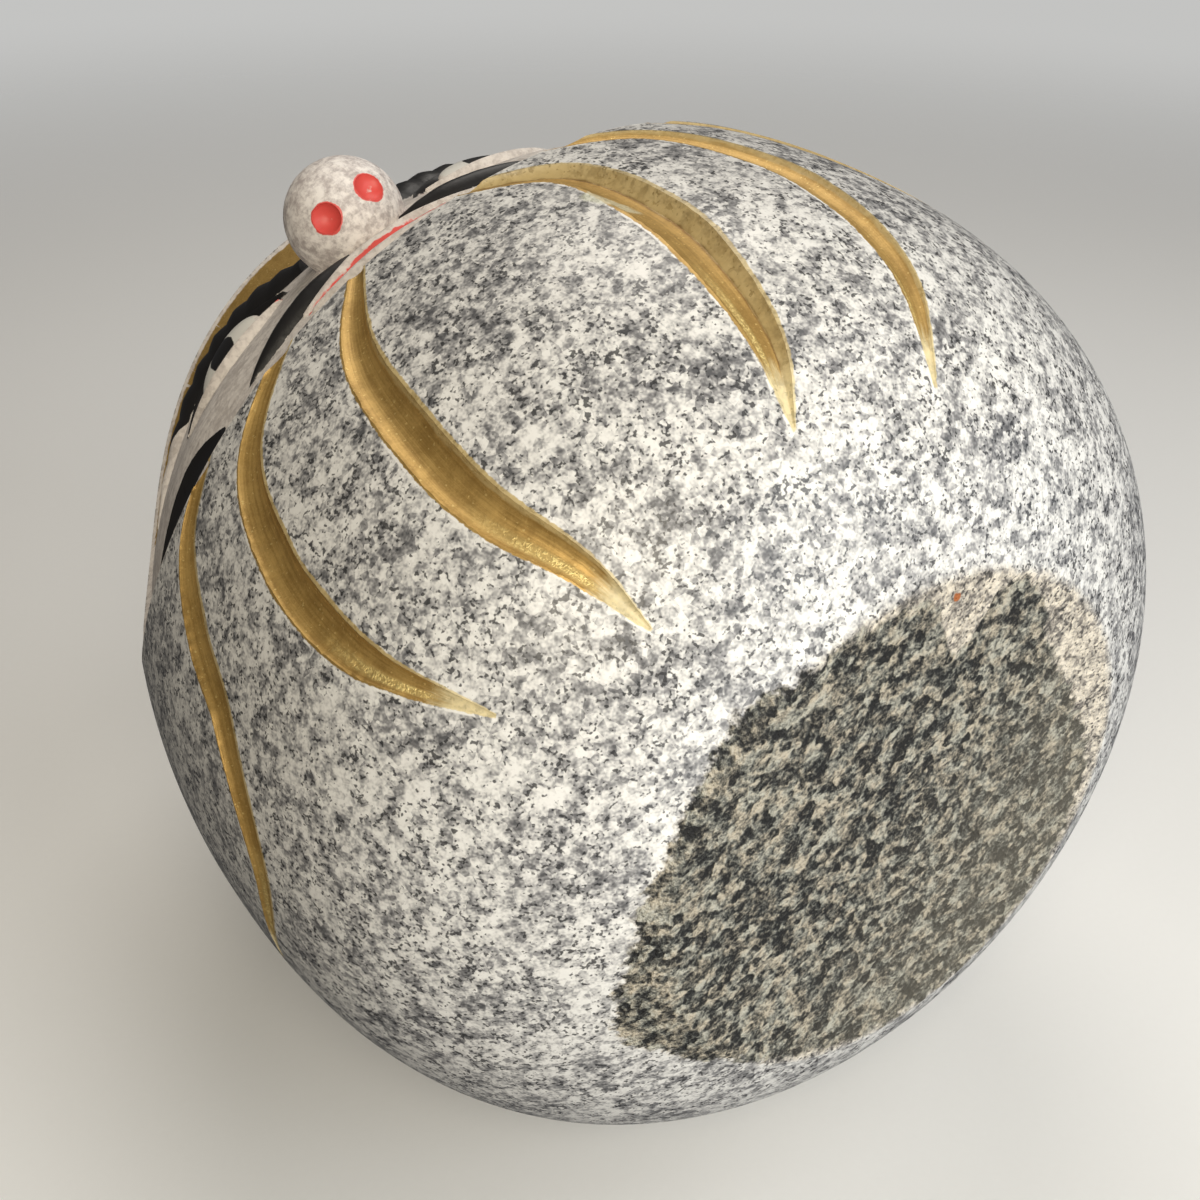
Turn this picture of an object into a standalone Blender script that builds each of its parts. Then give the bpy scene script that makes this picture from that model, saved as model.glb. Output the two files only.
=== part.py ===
"""A daruma carved from one block of grey granite.

The statue stands on a flat cut underside at Z = 0, its face turned to -Y. The block is an egg turned
about Z. A hood opening is cut into its upper half, and the face lies at the bottom of the opening.
Six tapered grooves for the folds of the robe run down from the opening's lower edge.
"""

import math

import bmesh
import bpy
from mathutils import Vector

# The egg-shaped block, in metres
HEIGHT = 0.217
HALF_WIDTH = 0.100
BELLY_SHARE = 0.375
LOWER_REACH_SHARE = 0.4035
LOWER_ROUNDNESS = 2.6
UPPER_ROUNDNESS = 1.9

# How finely the block is cut into facets
BLOCK_RINGS = 31
BLOCK_SEGMENTS = 64

# The hood opening, as shares of the height and as a turn from the front in degrees
OPENING_CENTRE_SHARE = 0.633
OPENING_HALF_HEIGHT_SHARE = 0.203
OPENING_HALF_TURN = 68.0
OPENING_UPPER_SQUARENESS = 3.5
OPENING_LOWER_SQUARENESS = 2.1
OPENING_POINTS = 56
FACE_DEPTH = 0.0085
CHEEK_DEPTH = 0.0020
OPENING_CUT_DEPTH = 0.0140
HOOD_SLOPE_WIDTH = 0.0105

# The robe's grooves: azimuth in degrees from the front towards +X, height as a share of the height
GROOVES = {
    "inner_left": (
        (-7.2, 0.430), (-13.2, 0.350), (-16.1, 0.247), (-17.3, 0.161), (-16.0, 0.092), (-16.5, 0.049),
    ),
    "inner_right": (
        (7.2, 0.430), (14.8, 0.376), (16.6, 0.276), (16.2, 0.201), (14.8, 0.124), (11.8, 0.074),
    ),
    "middle_left": (
        (-16.0, 0.446), (-27.9, 0.390), (-33.4, 0.300), (-35.8, 0.215), (-35.9, 0.157), (-34.1, 0.088),
    ),
    "middle_right": (
        (16.0, 0.446), (27.9, 0.406), (34.1, 0.314), (35.8, 0.235), (35.9, 0.145), (32.5, 0.068),
    ),
    "outer_left": (
        (-32.5, 0.452), (-40.3, 0.430), (-47.1, 0.369), (-52.9, 0.306), (-67.0, 0.257), (-84.0, 0.290),
    ),
    "outer_right": (
        (32.5, 0.452), (40.3, 0.430), (47.1, 0.369), (52.9, 0.306), (67.0, 0.257), (84.0, 0.290),
    ),
}
GROOVE_HALF_WIDTH = 0.0042
GROOVE_DEPTH = 0.0026
GROOVE_START_SHARE = 0.35
GROOVE_STATIONS = 16

# The face, its places as shares of the opening's half turn and half height
NOSE_RADIUS = 0.0120
NOSE_LIFT = 0.0045
NOSE_HEIGHT = -0.10
NOSTRIL_RADIUS = 0.0034
NOSTRIL_SPREAD = 0.44
NOSTRIL_DROP = 0.70
NOSTRIL_OFFSET = 0.45
EYE_PLACE = (0.36, 0.14)
EYE_HALF_WIDTH = 0.0105
EYE_HALF_HEIGHT = 0.0062
EYE_BULGE = 0.0030
BROW_PATH = ((0.09, 0.26), (0.28, 0.48), (0.52, 0.47), (0.78, 0.12))
BROW_HALF_WIDTH = 0.0060
BROW_RISE = 0.0032
BROW_START_SHARE = 0.55
BROW_FULLEST_SHARE = 0.40
BROW_TUFTS = 9
TUFT_SHARE = 0.55
UPPER_LID_PATH = ((0.17, 0.10), (0.28, 0.29), (0.45, 0.29), (0.56, 0.10))
LOWER_LID_PATH = ((0.19, 0.07), (0.30, -0.03), (0.43, -0.03), (0.55, 0.07))
LID_HALF_WIDTH = 0.0016
LID_RISE = 0.0022
UPPER_LIP_PATH = ((-0.21, -0.525), (-0.08, -0.475), (0.0, -0.495), (0.08, -0.475), (0.21, -0.525))
LOWER_LIP_PATH = ((-0.19, -0.555), (-0.08, -0.595), (0.0, -0.605), (0.08, -0.595), (0.19, -0.555))
LIP_HALF_WIDTH = 0.0021
LIP_RISE = 0.0016
MOUSTACHE_PATH = ((0.05, -0.38), (0.15, -0.41), (0.26, -0.46), (0.36, -0.50))
MOUSTACHE_HALF_WIDTH = 0.0030
MOUSTACHE_RISE = 0.0024
BEARD_STROKES = 7
BEARD_FAN_DEGREES = 52.0
BEARD_INNER_REACH = 0.70
BEARD_OUTER_REACH = 0.83
BEARD_HALF_WIDTH = 0.0017
BEARD_DEPTH = 0.0016
SIDE_BEARD_PATH = ((0.45, -0.50), (0.53, -0.41), (0.61, -0.35), (0.69, -0.31), (0.77, -0.28))
SIDE_BEARD_HALF_WIDTH = 0.0040

# Strokes start blunt, are fullest part way along and end in a point
STROKE_STATIONS = 9
STROKE_START_SHARE = 0.30
FULLEST_SHARE = 0.42
TAPER_POWER = 0.8
POINT_SHARE = 0.06

# Cross-sections of a stroke, as shares of its half width and of its rise
RIDGE_SECTION = ((-1.0, 0.0), (0.0, 1.0), (1.0, 0.0))
GOUGE_SECTION = ((-1.0, 0.0), (-0.55, 0.8), (0.0, 1.0), (0.55, 0.8), (1.0, 0.0))

# Facets round and along the ball-shaped features
NOSE_FACETS = (24, 14)
EYE_FACETS = (18, 10)
NOSTRIL_FACETS = (10, 6)

# Cutters and buried roots reach this far past the surface that they cross, and sideways
OVERSHOOT = 0.0010
SIDE_OVERSHOOT = 0.0005
PROFILE_SAMPLES = 600
DERIVATIVE_STEP = 1.0e-4
TINY = 1.0e-12

# The stone's plain colour
GRANITE_COLOUR = (0.56, 0.55, 0.55)
GRANITE_ROUGHNESS = 0.5


def remove_everything():
    for item in list(bpy.data.objects):
        bpy.data.objects.remove(item, do_unlink=True)


def profile_radius(height):
    """Radius of the egg at a height above the underside."""
    belly = BELLY_SHARE * HEIGHT
    if height < belly:
        reach, roundness = LOWER_REACH_SHARE * HEIGHT, LOWER_ROUNDNESS
    else:
        reach, roundness = HEIGHT - belly, UPPER_ROUNDNESS
    share = min(abs(height - belly) / reach, 1.0)
    return HALF_WIDTH * (1.0 - share ** roundness) ** (1.0 / roundness)


def skin_point(azimuth, height):
    """Point of the block's surface; azimuth in radians from the front towards +X."""
    radius = profile_radius(height)
    return Vector((radius * math.sin(azimuth), -radius * math.cos(azimuth), height))


def skin_frame(azimuth, height):
    """Surface point and its outward normal."""
    step = DERIVATIVE_STEP
    low = min(max(height - step * HEIGHT, 0.0), HEIGHT * (1.0 - 3.0 * step))
    across = skin_point(azimuth + step, height) - skin_point(azimuth - step, height)
    upward = skin_point(azimuth, low + 2.0 * step * HEIGHT) - skin_point(azimuth, low)
    normal = across.cross(upward)
    if normal.length < TINY:
        normal = Vector((0.0, 0.0, 1.0))
    return skin_point(azimuth, height), normal.normalized()


def face_depth(azimuth):
    """How far the face lies under the block's surface: deep in the middle, shallow at the cheeks."""
    share = min(abs(azimuth) / math.radians(OPENING_HALF_TURN), 1.0)
    return FACE_DEPTH + (CHEEK_DEPTH - FACE_DEPTH) * share * share


def no_depth(azimuth):
    return 0.0


def face_spot(turn_share, height_share):
    """Azimuth and height of a place given in shares of the opening's half turn and half height."""
    height = (OPENING_CENTRE_SHARE + height_share * OPENING_HALF_HEIGHT_SHARE) * HEIGHT
    return math.radians(turn_share * OPENING_HALF_TURN), height


def make_material(name, colour, roughness):
    material = bpy.data.materials.new(name)
    material.use_nodes = True
    shader = material.node_tree.nodes["Principled BSDF"]
    shader.inputs["Base Color"].default_value = (*colour, 1.0)
    shader.inputs["Roughness"].default_value = roughness
    return material


def new_object(name, mesh, hidden):
    item = bpy.data.objects.new(name, mesh)
    bpy.context.scene.collection.objects.link(item)
    if hidden:
        item.hide_render = True
        item.display_type = "WIRE"
    return item


def loft(name, rings, first_tip=None, last_tip=None):
    """Closed shape through equal rings of points, its ends capped by a face or drawn to a tip."""
    work = bmesh.new()
    layers = [[work.verts.new(point) for point in ring] for ring in rings]
    count = len(layers[0])
    for lower, upper in zip(layers, layers[1:]):
        for index in range(count):
            after = (index + 1) % count
            work.faces.new((lower[index], lower[after], upper[after], upper[index]))
    for layer, tip in ((layers[0][::-1], first_tip), (layers[-1], last_tip)):
        if tip is None:
            work.faces.new(layer)
            continue
        point = work.verts.new(tip)
        for index in range(count):
            work.faces.new((layer[index], layer[(index + 1) % count], point))
    if work.calc_volume(signed=True) < 0.0:
        bmesh.ops.reverse_faces(work, faces=work.faces)
    mesh = bpy.data.meshes.new(name)
    work.to_mesh(mesh)
    work.free()
    return mesh


def ring_heights():
    """Heights that part the block's profile into equal lengths."""
    turns = [math.pi * step / PROFILE_SAMPLES for step in range(PROFILE_SAMPLES + 1)]
    heights = [HEIGHT * (0.5 - 0.5 * math.cos(turn)) for turn in turns]
    lengths = [0.0]
    for low, high in zip(heights, heights[1:]):
        lengths.append(lengths[-1] + math.hypot(high - low, profile_radius(high) - profile_radius(low)))
    picked = []
    for ring in range(BLOCK_RINGS):
        wanted = lengths[-1] * ring / BLOCK_RINGS
        picked.append(next(height for height, length in zip(heights, lengths) if length >= wanted))
    return picked


def block_mesh(name, depth):
    """The egg-shaped block, drawn in along its normals by a depth that depends on the azimuth."""
    rings = []
    for height in ring_heights():
        ring = []
        for segment in range(BLOCK_SEGMENTS):
            azimuth = math.pi * (2.0 * segment / BLOCK_SEGMENTS - 1.0)
            point, normal = skin_frame(azimuth, height)
            ring.append(point - depth(azimuth) * normal)
        rings.append(ring)
    return loft(name, rings, last_tip=Vector((0.0, 0.0, HEIGHT - depth(0.0))))


def opening_outline():
    """Azimuth and height pairs round the hood opening, a squared ellipse wrapped round the head."""
    pairs = []
    for step in range(OPENING_POINTS):
        angle = 2.0 * math.pi * step / OPENING_POINTS
        squareness = OPENING_UPPER_SQUARENESS if math.sin(angle) > 0.0 else OPENING_LOWER_SQUARENESS
        power = 2.0 / squareness
        across = math.copysign(abs(math.cos(angle)) ** power, math.cos(angle))
        rise = math.copysign(abs(math.sin(angle)) ** power, math.sin(angle))
        pairs.append(face_spot(across, rise))
    return pairs


def opening_cutter():
    """Funnel whose sloping side leaves the hood's bevelled edge."""
    frames = [skin_frame(azimuth, height) for azimuth, height in opening_outline()]
    count = len(frames)
    outer, edge, floor = [], [], []
    for index, (point, normal) in enumerate(frames):
        along = frames[(index + 1) % count][0] - frames[index - 1][0]
        inward = normal.cross(along).normalized()
        outer.append(point + OPENING_CUT_DEPTH * normal)
        edge.append(point)
        floor.append(point - OPENING_CUT_DEPTH * normal + HOOD_SLOPE_WIDTH * inward)
    middle, out = skin_frame(0.0, OPENING_CENTRE_SHARE * HEIGHT)
    in_front = middle + 2.0 * HALF_WIDTH * out
    behind = middle - 2.0 * OPENING_CUT_DEPTH * out
    mesh = loft("opening", [outer, edge, floor], in_front, behind)
    return new_object("opening_cutter", mesh, hidden=True)


def curve_through(controls, stations):
    """Pairs along a smooth curve through the control pairs."""
    first = tuple(2.0 * a - b for a, b in zip(controls[0], controls[1]))
    last = tuple(2.0 * a - b for a, b in zip(controls[-1], controls[-2]))
    padded = [first, *controls, last]
    spans = len(controls) - 1
    pairs = []
    for station in range(stations):
        place = spans * station / (stations - 1)
        span = min(int(place), spans - 1)
        share = place - span
        pair = []
        for before, start, end, after in zip(*padded[span:span + 4]):
            bend = 2.0 * before - 5.0 * start + 4.0 * end - after
            twist = 3.0 * (start - end) + after - before
            pair.append(start + 0.5 * share * (end - before + share * (bend + share * twist)))
        pairs.append(tuple(pair))
    return pairs


def stroke(name, pairs, depth, left, right, rise, section):
    """Tapered ridge, or groove where rise is negative, along azimuth and height pairs."""
    frames = [skin_frame(azimuth, height) for azimuth, height in pairs]
    normals = [normal for point, normal in frames]
    points = [point - depth(pair[0]) * normal for pair, (point, normal) in zip(pairs, frames)]
    out = math.copysign(1.0, rise)
    widest = max(left(0.5), right(0.5))
    rings = []
    for index in range(1, len(points) - 1):
        along = (points[index + 1] - points[index - 1]).normalized()
        across = along.cross(normals[index]).normalized()
        share = index / (len(points) - 1)
        reaches = (left(share), right(share))
        scale = min(sum(reaches) / (2.0 * widest), 1.0)
        ring = []
        for side, lift in section:
            reach = reaches[0] if side < 0.0 else reaches[1]
            foot = 1.0 if lift == 0.0 else 0.0
            sideways = side * (reach + foot * SIDE_OVERSHOOT)
            upward = rise * scale * lift - out * foot * OVERSHOOT
            ring.append(points[index] + sideways * across + upward * normals[index])
        rings.append(ring)
    first = points[0] - out * SIDE_OVERSHOOT * normals[0]
    last = points[-1] - out * SIDE_OVERSHOOT * normals[-1]
    return new_object(name, loft(name, rings, first, last), hidden=True)


def taper(widest, start_share, fullest=FULLEST_SHARE):
    """Half width along a stroke: drawn to a point at its end, fullest part way down."""
    def width(share):
        if share < fullest:
            swell = start_share + (1.0 - start_share) * math.sin(0.5 * math.pi * share / fullest)
        else:
            swell = math.cos(0.5 * math.pi * (share - fullest) / (1.0 - fullest)) ** TAPER_POWER
        return widest * max(swell, POINT_SHARE)
    return width


def robe_grooves():
    cutters = []
    width = taper(GROOVE_HALF_WIDTH, GROOVE_START_SHARE)
    for name, controls in GROOVES.items():
        places = [(math.radians(turn), share * HEIGHT) for turn, share in controls]
        pairs = curve_through(places, GROOVE_STATIONS)
        groove = stroke("groove_" + name, pairs, no_depth, width, width, -GROOVE_DEPTH, GOUGE_SECTION)
        cutters.append(groove)
    return cutters


def mirrored(path):
    return tuple((-across, rise) for across, rise in path)


def face_stroke(name, path, half_width, rise):
    pairs = curve_through([face_spot(*place) for place in path], STROKE_STATIONS)
    width = taper(half_width, STROKE_START_SHARE)
    return stroke(name, pairs, face_depth, width, width, rise, RIDGE_SECTION)


def brow(name, path, flip):
    """Bushy brow whose upper edge is a row of pointed tufts."""
    stations = 2 * BROW_TUFTS + 1
    pairs = curve_through([face_spot(*place) for place in path], stations)
    smooth = taper(BROW_HALF_WIDTH, BROW_START_SHARE, BROW_FULLEST_SHARE)

    def tufted(share):
        tip = round(share * (stations - 1)) % 2
        return smooth(share) * (1.0 + TUFT_SHARE * tip)

    left, right = (smooth, tufted) if flip else (tufted, smooth)
    return stroke(name, pairs, face_depth, left, right, BROW_RISE, RIDGE_SECTION)


def ball(name, centre, radii, facets, turn=0.0):
    work = bmesh.new()
    bmesh.ops.create_uvsphere(work, u_segments=facets[0], v_segments=facets[1], radius=1.0)
    bmesh.ops.scale(work, vec=radii, verts=work.verts)
    mesh = bpy.data.meshes.new(name)
    work.to_mesh(mesh)
    work.free()
    item = new_object(name, mesh, hidden=True)
    item.location = centre
    item.rotation_euler.z = turn
    return item


def nose_centre():
    point, normal = skin_frame(*face_spot(0.0, NOSE_HEIGHT))
    return point + (NOSE_LIFT - FACE_DEPTH) * normal


def nostrils():
    cutters = []
    forward = -math.sqrt(1.0 - NOSTRIL_SPREAD ** 2 - NOSTRIL_DROP ** 2)
    for side in (-1.0, 1.0):
        away = Vector((side * NOSTRIL_SPREAD, forward, -NOSTRIL_DROP))
        centre = nose_centre() + (NOSE_RADIUS + NOSTRIL_OFFSET * NOSTRIL_RADIUS) * away
        cutters.append(ball(f"nostril_{side:+.0f}", centre, (NOSTRIL_RADIUS,) * 3, NOSTRIL_FACETS))
    return cutters


def eyes():
    balls = []
    for side in (-1.0, 1.0):
        azimuth, height = face_spot(side * EYE_PLACE[0], EYE_PLACE[1])
        point, normal = skin_frame(azimuth, height)
        centre = point - face_depth(azimuth) * normal
        radii = (EYE_HALF_WIDTH, EYE_BULGE, EYE_HALF_HEIGHT)
        balls.append(ball(f"eye_{side:+.0f}", centre, radii, EYE_FACETS, turn=azimuth))
    return balls


def beard_strokes():
    """Short strokes fanned out under the mouth, and a longer one along each jaw."""
    cutters = []
    middle_reach = 0.5 * (BEARD_INNER_REACH + BEARD_OUTER_REACH)
    reaches = (BEARD_INNER_REACH, middle_reach, BEARD_OUTER_REACH)
    for index in range(BEARD_STROKES):
        turn = math.radians(BEARD_FAN_DEGREES * (index / (BEARD_STROKES - 1) - 0.5))
        path = [(reach * math.sin(turn), -reach * math.cos(turn)) for reach in reaches]
        cutters.append(face_stroke(f"beard_{index}", path, BEARD_HALF_WIDTH, -BEARD_DEPTH))
    for label, path in (("left", mirrored(SIDE_BEARD_PATH)), ("right", SIDE_BEARD_PATH)):
        cutters.append(face_stroke("side_beard_" + label, path, SIDE_BEARD_HALF_WIDTH, -BEARD_DEPTH))
    return cutters


def face_ridges():
    ridges = [ball("nose", nose_centre(), (NOSE_RADIUS,) * 3, NOSE_FACETS)]
    ridges += eyes()
    for label, turn_over in (("left", True), ("right", False)):
        def sided(path):
            return mirrored(path) if turn_over else path
        ridges.append(brow("brow_" + label, sided(BROW_PATH), flip=turn_over))
        ridges.append(face_stroke("upper_lid_" + label, sided(UPPER_LID_PATH), LID_HALF_WIDTH, LID_RISE))
        ridges.append(face_stroke("lower_lid_" + label, sided(LOWER_LID_PATH), LID_HALF_WIDTH, LID_RISE))
        path = sided(MOUSTACHE_PATH)
        ridges.append(face_stroke("moustache_" + label, path, MOUSTACHE_HALF_WIDTH, MOUSTACHE_RISE))
    ridges.append(face_stroke("upper_lip", UPPER_LIP_PATH, LIP_HALF_WIDTH, LIP_RISE))
    ridges.append(face_stroke("lower_lip", LOWER_LIP_PATH, LIP_HALF_WIDTH, LIP_RISE))
    return ridges


def carve(stone, tools, operation):
    for tool in tools:
        modifier = stone.modifiers.new(tool.name, "BOOLEAN")
        modifier.object = tool
        modifier.operation = operation
        modifier.solver = "EXACT"


def main():
    remove_everything()
    stone = new_object("daruma_statue", block_mesh("daruma_statue", no_depth), hidden=False)
    stone.data.materials.append(make_material("granite", GRANITE_COLOUR, GRANITE_ROUGHNESS))
    face_block = new_object("face_block", block_mesh("face_block", face_depth), hidden=True)
    carve(stone, [opening_cutter()], "DIFFERENCE")
    carve(stone, [face_block], "UNION")
    carve(stone, face_ridges(), "UNION")
    carve(stone, robe_grooves() + nostrils() + beard_strokes(), "DIFFERENCE")
    stone.data.shade_smooth()


main()
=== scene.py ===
"""Looks of the carved granite daruma: fine carving, stone grain, paint, light and camera."""

import math

import bmesh
import bpy
import numpy as np
from mathutils import Matrix, Vector, noise


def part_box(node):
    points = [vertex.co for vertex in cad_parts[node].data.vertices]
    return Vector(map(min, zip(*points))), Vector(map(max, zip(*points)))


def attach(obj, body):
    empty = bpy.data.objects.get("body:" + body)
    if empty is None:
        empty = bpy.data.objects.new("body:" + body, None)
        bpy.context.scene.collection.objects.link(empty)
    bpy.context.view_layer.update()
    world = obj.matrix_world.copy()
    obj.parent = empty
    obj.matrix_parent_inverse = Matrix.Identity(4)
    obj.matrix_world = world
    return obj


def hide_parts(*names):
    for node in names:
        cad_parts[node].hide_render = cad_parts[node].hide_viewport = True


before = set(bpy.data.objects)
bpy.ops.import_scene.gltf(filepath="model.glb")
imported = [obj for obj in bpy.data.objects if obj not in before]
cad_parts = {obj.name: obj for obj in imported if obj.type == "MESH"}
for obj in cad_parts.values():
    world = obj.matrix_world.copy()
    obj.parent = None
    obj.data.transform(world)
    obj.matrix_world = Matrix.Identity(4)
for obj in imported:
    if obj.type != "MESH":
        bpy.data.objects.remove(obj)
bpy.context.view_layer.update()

STONE = "daruma_statue"
MM = 0.001

# The block, read from the frame, and its profile
LOW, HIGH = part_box(STONE)
HEIGHT = HIGH.z - LOW.z
HALF_WIDTH = 0.5 * (HIGH.x - LOW.x)
BELLY_SHARE = 0.375
LOWER_REACH_SHARE = 0.4035
LOWER_ROUNDNESS = 2.6
UPPER_ROUNDNESS = 1.9
SLOPE_STEP = 1.0e-4 * HEIGHT
SLOPE_TOP = 0.9997 * HEIGHT

# The hood opening and the face's depth in it
OPENING_CENTRE_SHARE = 0.633
OPENING_HALF_HEIGHT_SHARE = 0.203
OPENING_HALF_TURN = 68.0
OPENING_UPPER_SQUARENESS = 3.5
OPENING_LOWER_SQUARENESS = 2.1
FACE_DEPTH = 8.5 * MM
CHEEK_DEPTH = 2.0 * MM
OPENING_CUT_DEPTH = 14.0 * MM
HOOD_SLOPE_WIDTH = 10.5 * MM
FACE_LOW_SHARE = 0.395
FACE_HIGH_SHARE = 0.872
FACE_BLOCK_TURN = 86.0
FACE_BLOCK_BACK = 0.42

# Soft forms of the face: depth, place and spread in shares of the opening, one on each side
FACE_SWELLS = (
    (-1.3 * MM, (0.46, -0.22), (0.20, 0.26)),
    (1.2 * MM, (0.36, 0.15), (0.20, 0.20)),
    (-1.2 * MM, (0.0, -0.52), (0.26, 0.20)),
    (-0.8 * MM, (0.30, 0.52), (0.30, 0.16)),
)

# Hand-cut strokes: how they end, how much their edges waver and how chips break out of them
STROKE_TIP_CURVE = 0.8
STROKE_TIP_WIDTH = 0.06
WAVER = 0.05
LEFT_WAVES = 9.0
RIGHT_WAVES = 11.0
CHIPS_A_STATION = 0.9
CHIP_START = 0.1
SMALL_CHIPS_A_STATION = 0.8
SMALL_CHIP_SHARE = 0.3
FACE_STROKE_START_WIDTH = 0.3
FACE_STROKE_ROUNDNESS = 1.8

# The robe's grooves: azimuth in degrees from the front towards +X, height as a share of the height
GROOVES = {
    "inner_left": (
        (-7.2, 0.430), (-13.2, 0.350), (-16.1, 0.247), (-17.3, 0.161), (-16.0, 0.092), (-16.5, 0.049),
    ),
    "inner_right": (
        (7.2, 0.430), (14.8, 0.376), (16.6, 0.276), (16.2, 0.201), (14.8, 0.124), (11.8, 0.074),
    ),
    "middle_left": (
        (-16.0, 0.446), (-27.9, 0.390), (-33.4, 0.300), (-35.8, 0.215), (-35.9, 0.157), (-34.1, 0.088),
    ),
    "middle_right": (
        (16.0, 0.446), (27.9, 0.406), (34.1, 0.314), (35.8, 0.235), (35.9, 0.145), (32.5, 0.068),
    ),
    "outer_left": (
        (-32.5, 0.452), (-40.3, 0.430), (-47.1, 0.369), (-52.9, 0.306), (-67.0, 0.257), (-84.0, 0.290),
    ),
    "outer_right": (
        (32.5, 0.452), (40.3, 0.430), (47.1, 0.369), (52.9, 0.306), (67.0, 0.257), (84.0, 0.290),
    ),
}
GROOVE_HALF_WIDTH = 4.2 * MM
GROOVE_DEPTH = 2.6 * MM
GROOVE_START_SHARE = 0.12
GROOVE_START_WIDTH = 0.35
GROOVE_CHIPS = 0.45 * MM
ROUND_GROOVE_POWER = 2.1
ROUND_GROOVE_DEPTH = 0.78 * GROOVE_DEPTH
# One groove is cut with a sharper tool: deepest off its middle, wider on its +X side, in half widths
CREASED_GROOVE = "inner_right"
CREASE_PLACE = -0.50
CREASED_WIDER = 1.28
CREASED_GROOVE_POWER = 1.3

# The face, its places as shares of the opening's half turn and half height
NOSE_RADIUS = 12.0 * MM
NOSE_LIFT = 4.5 * MM
NOSE_HEIGHT = -0.10
NOSTRIL_RADIUS = 3.4 * MM
NOSTRIL_SPREAD = 0.44
NOSTRIL_DROP = 0.70
NOSTRIL_SUNK = 0.45
EYE_PLACE = (0.36, 0.14)
EYE_HALF_WIDTH = 10.5 * MM
EYE_HALF_HEIGHT = 6.2 * MM
EYE_BULGE = 3.0 * MM
BROW_PATH = ((0.09, 0.26), (0.28, 0.48), (0.52, 0.47), (0.78, 0.12))
BROW_HALF_WIDTH = 6.0 * MM
BROW_RISE = 3.2 * MM
BROW_ROUNDNESS = 2.2
BROW_START_WIDTH = 0.55
BROW_FULLEST = 0.4
BROW_TUFTS = 9
TUFT_SHARE = 0.55
TUFT_CURVE = 0.8
BETWEEN_TUFTS = 0.94
UPPER_LID_PATH = ((0.17, 0.10), (0.28, 0.29), (0.45, 0.29), (0.56, 0.10))
LOWER_LID_PATH = ((0.19, 0.07), (0.30, -0.03), (0.43, -0.03), (0.55, 0.07))
LID_HALF_WIDTH = 1.6 * MM
LID_RISE = 2.2 * MM
UPPER_LIP_PATH = ((-0.21, -0.525), (-0.08, -0.475), (0.0, -0.495), (0.08, -0.475), (0.21, -0.525))
LOWER_LIP_PATH = ((-0.19, -0.555), (-0.08, -0.595), (0.0, -0.605), (0.08, -0.595), (0.19, -0.555))
LIP_HALF_WIDTH = 2.1 * MM
LIP_RISE = 1.6 * MM
MOUTH_LINE = ((-0.20, -0.545), (-0.08, -0.525), (0.0, -0.545), (0.08, -0.525), (0.20, -0.545))
MOUTH_LINE_HALF_WIDTH = 0.9 * MM
MOUSTACHE_PATH = ((0.05, -0.38), (0.15, -0.41), (0.26, -0.46), (0.36, -0.50))
MOUSTACHE_HALF_WIDTH = 3.0 * MM
MOUSTACHE_RISE = 2.4 * MM
BEARD_STROKES = 7
BEARD_FAN_DEGREES = 52.0
BEARD_INNER_REACH = 0.70
BEARD_OUTER_REACH = 0.83
BEARD_HALF_WIDTH = 1.7 * MM
BEARD_DEPTH = 1.6 * MM
SIDE_BEARD_PATH = ((0.45, -0.50), (0.53, -0.41), (0.61, -0.35), (0.69, -0.31), (0.77, -0.28))
SIDE_BEARD_HALF_WIDTH = 4.0 * MM

# Fineness of the carved mesh
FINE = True
BLOCK_RINGS = 126 if FINE else 70
BLOCK_SEGMENTS = 250 if FINE else 140
BASE_RINGS = 24 if FINE else 12
FACE_RINGS = 84 if FINE else 50
FACE_COLUMNS = 150 if FINE else 90
FACE_BACK_STEP = 12
GROOVE_STATIONS = 110 if FINE else 60
STROKE_STATIONS = 40 if FINE else 24
STATIONS_PER_TUFT = 8 if FINE else 4
SECTION_POINTS = 9
OPENING_POINTS = 220 if FINE else 120
PROFILE_SAMPLES = 4000
CARVED_EDGE = 1.3 * MM if FINE else 2.4 * MM
OVERSHOOT = 1.0 * MM
REFINE_PASSES = 2
SHORTEST_EDGE = 0.03 * MM
SLIVER = 0.05 * MM
CARVED_DEPTH = 0.25 * MM
CARVED_LOW_SHARE = 0.02
SHARP_EDGE_DEGREES = 38.0

# Hand-ground unevenness: waves a metre, their offset and how far each goes into the stone
SLOW_WAVES = 22.0
SLOW_DEPTH = 0.22 * MM
QUICK_WAVES = 75.0
QUICK_OFFSET = Vector((5.0, 1.0, 2.0))
QUICK_DEPTH = 0.06 * MM
FLAT_UNDER = 0.2 * MM

# Paint of each groove in half widths: thin gold from its +X side, and spill over its +X edge
GROOVE_PAINT = {
    "inner_left": (0.34, 0.05),
    "inner_right": (0.55, 0.10),
    "middle_left": (0.25, 0.05),
    "middle_right": (0.28, 0.08),
    "outer_left": (0.35, 0.08),
    "outer_right": (0.30, 0.08),
}
# A pale greenish smear in the inner right groove, from end to end in mm
SMEAR = ((24.0, -96.9, 70.7), (27.9, -95.3, 62.9))
SMEAR_RADIUS = 1.9 * MM
FOOT_PASSES = 5
FOOT_TOP = 0.999 * HEIGHT
STEEPEST = 40.0
PAINT_REACH = 8.0 * MM
OPENING_REACH = 18.0 * MM
HOOD_PAINT_END = 0.58
HOOD_PAINT_SLANT = 0.8
HOOD_BARE_EDGE = 0.7 * MM
HOOD_PAINT_SPILL = 2.5 * MM
NOSTRIL_PAINT = 1.12
EYE_CORNER = (0.205, 0.085)
EYE_CORNER_RADIUS = 1.5 * MM
PUPIL_RADIUS = 4.0 * MM
BROW_PAINTED_SHARE = 0.76
BROW_PAINT_TAPER = 7.0 * MM

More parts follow.
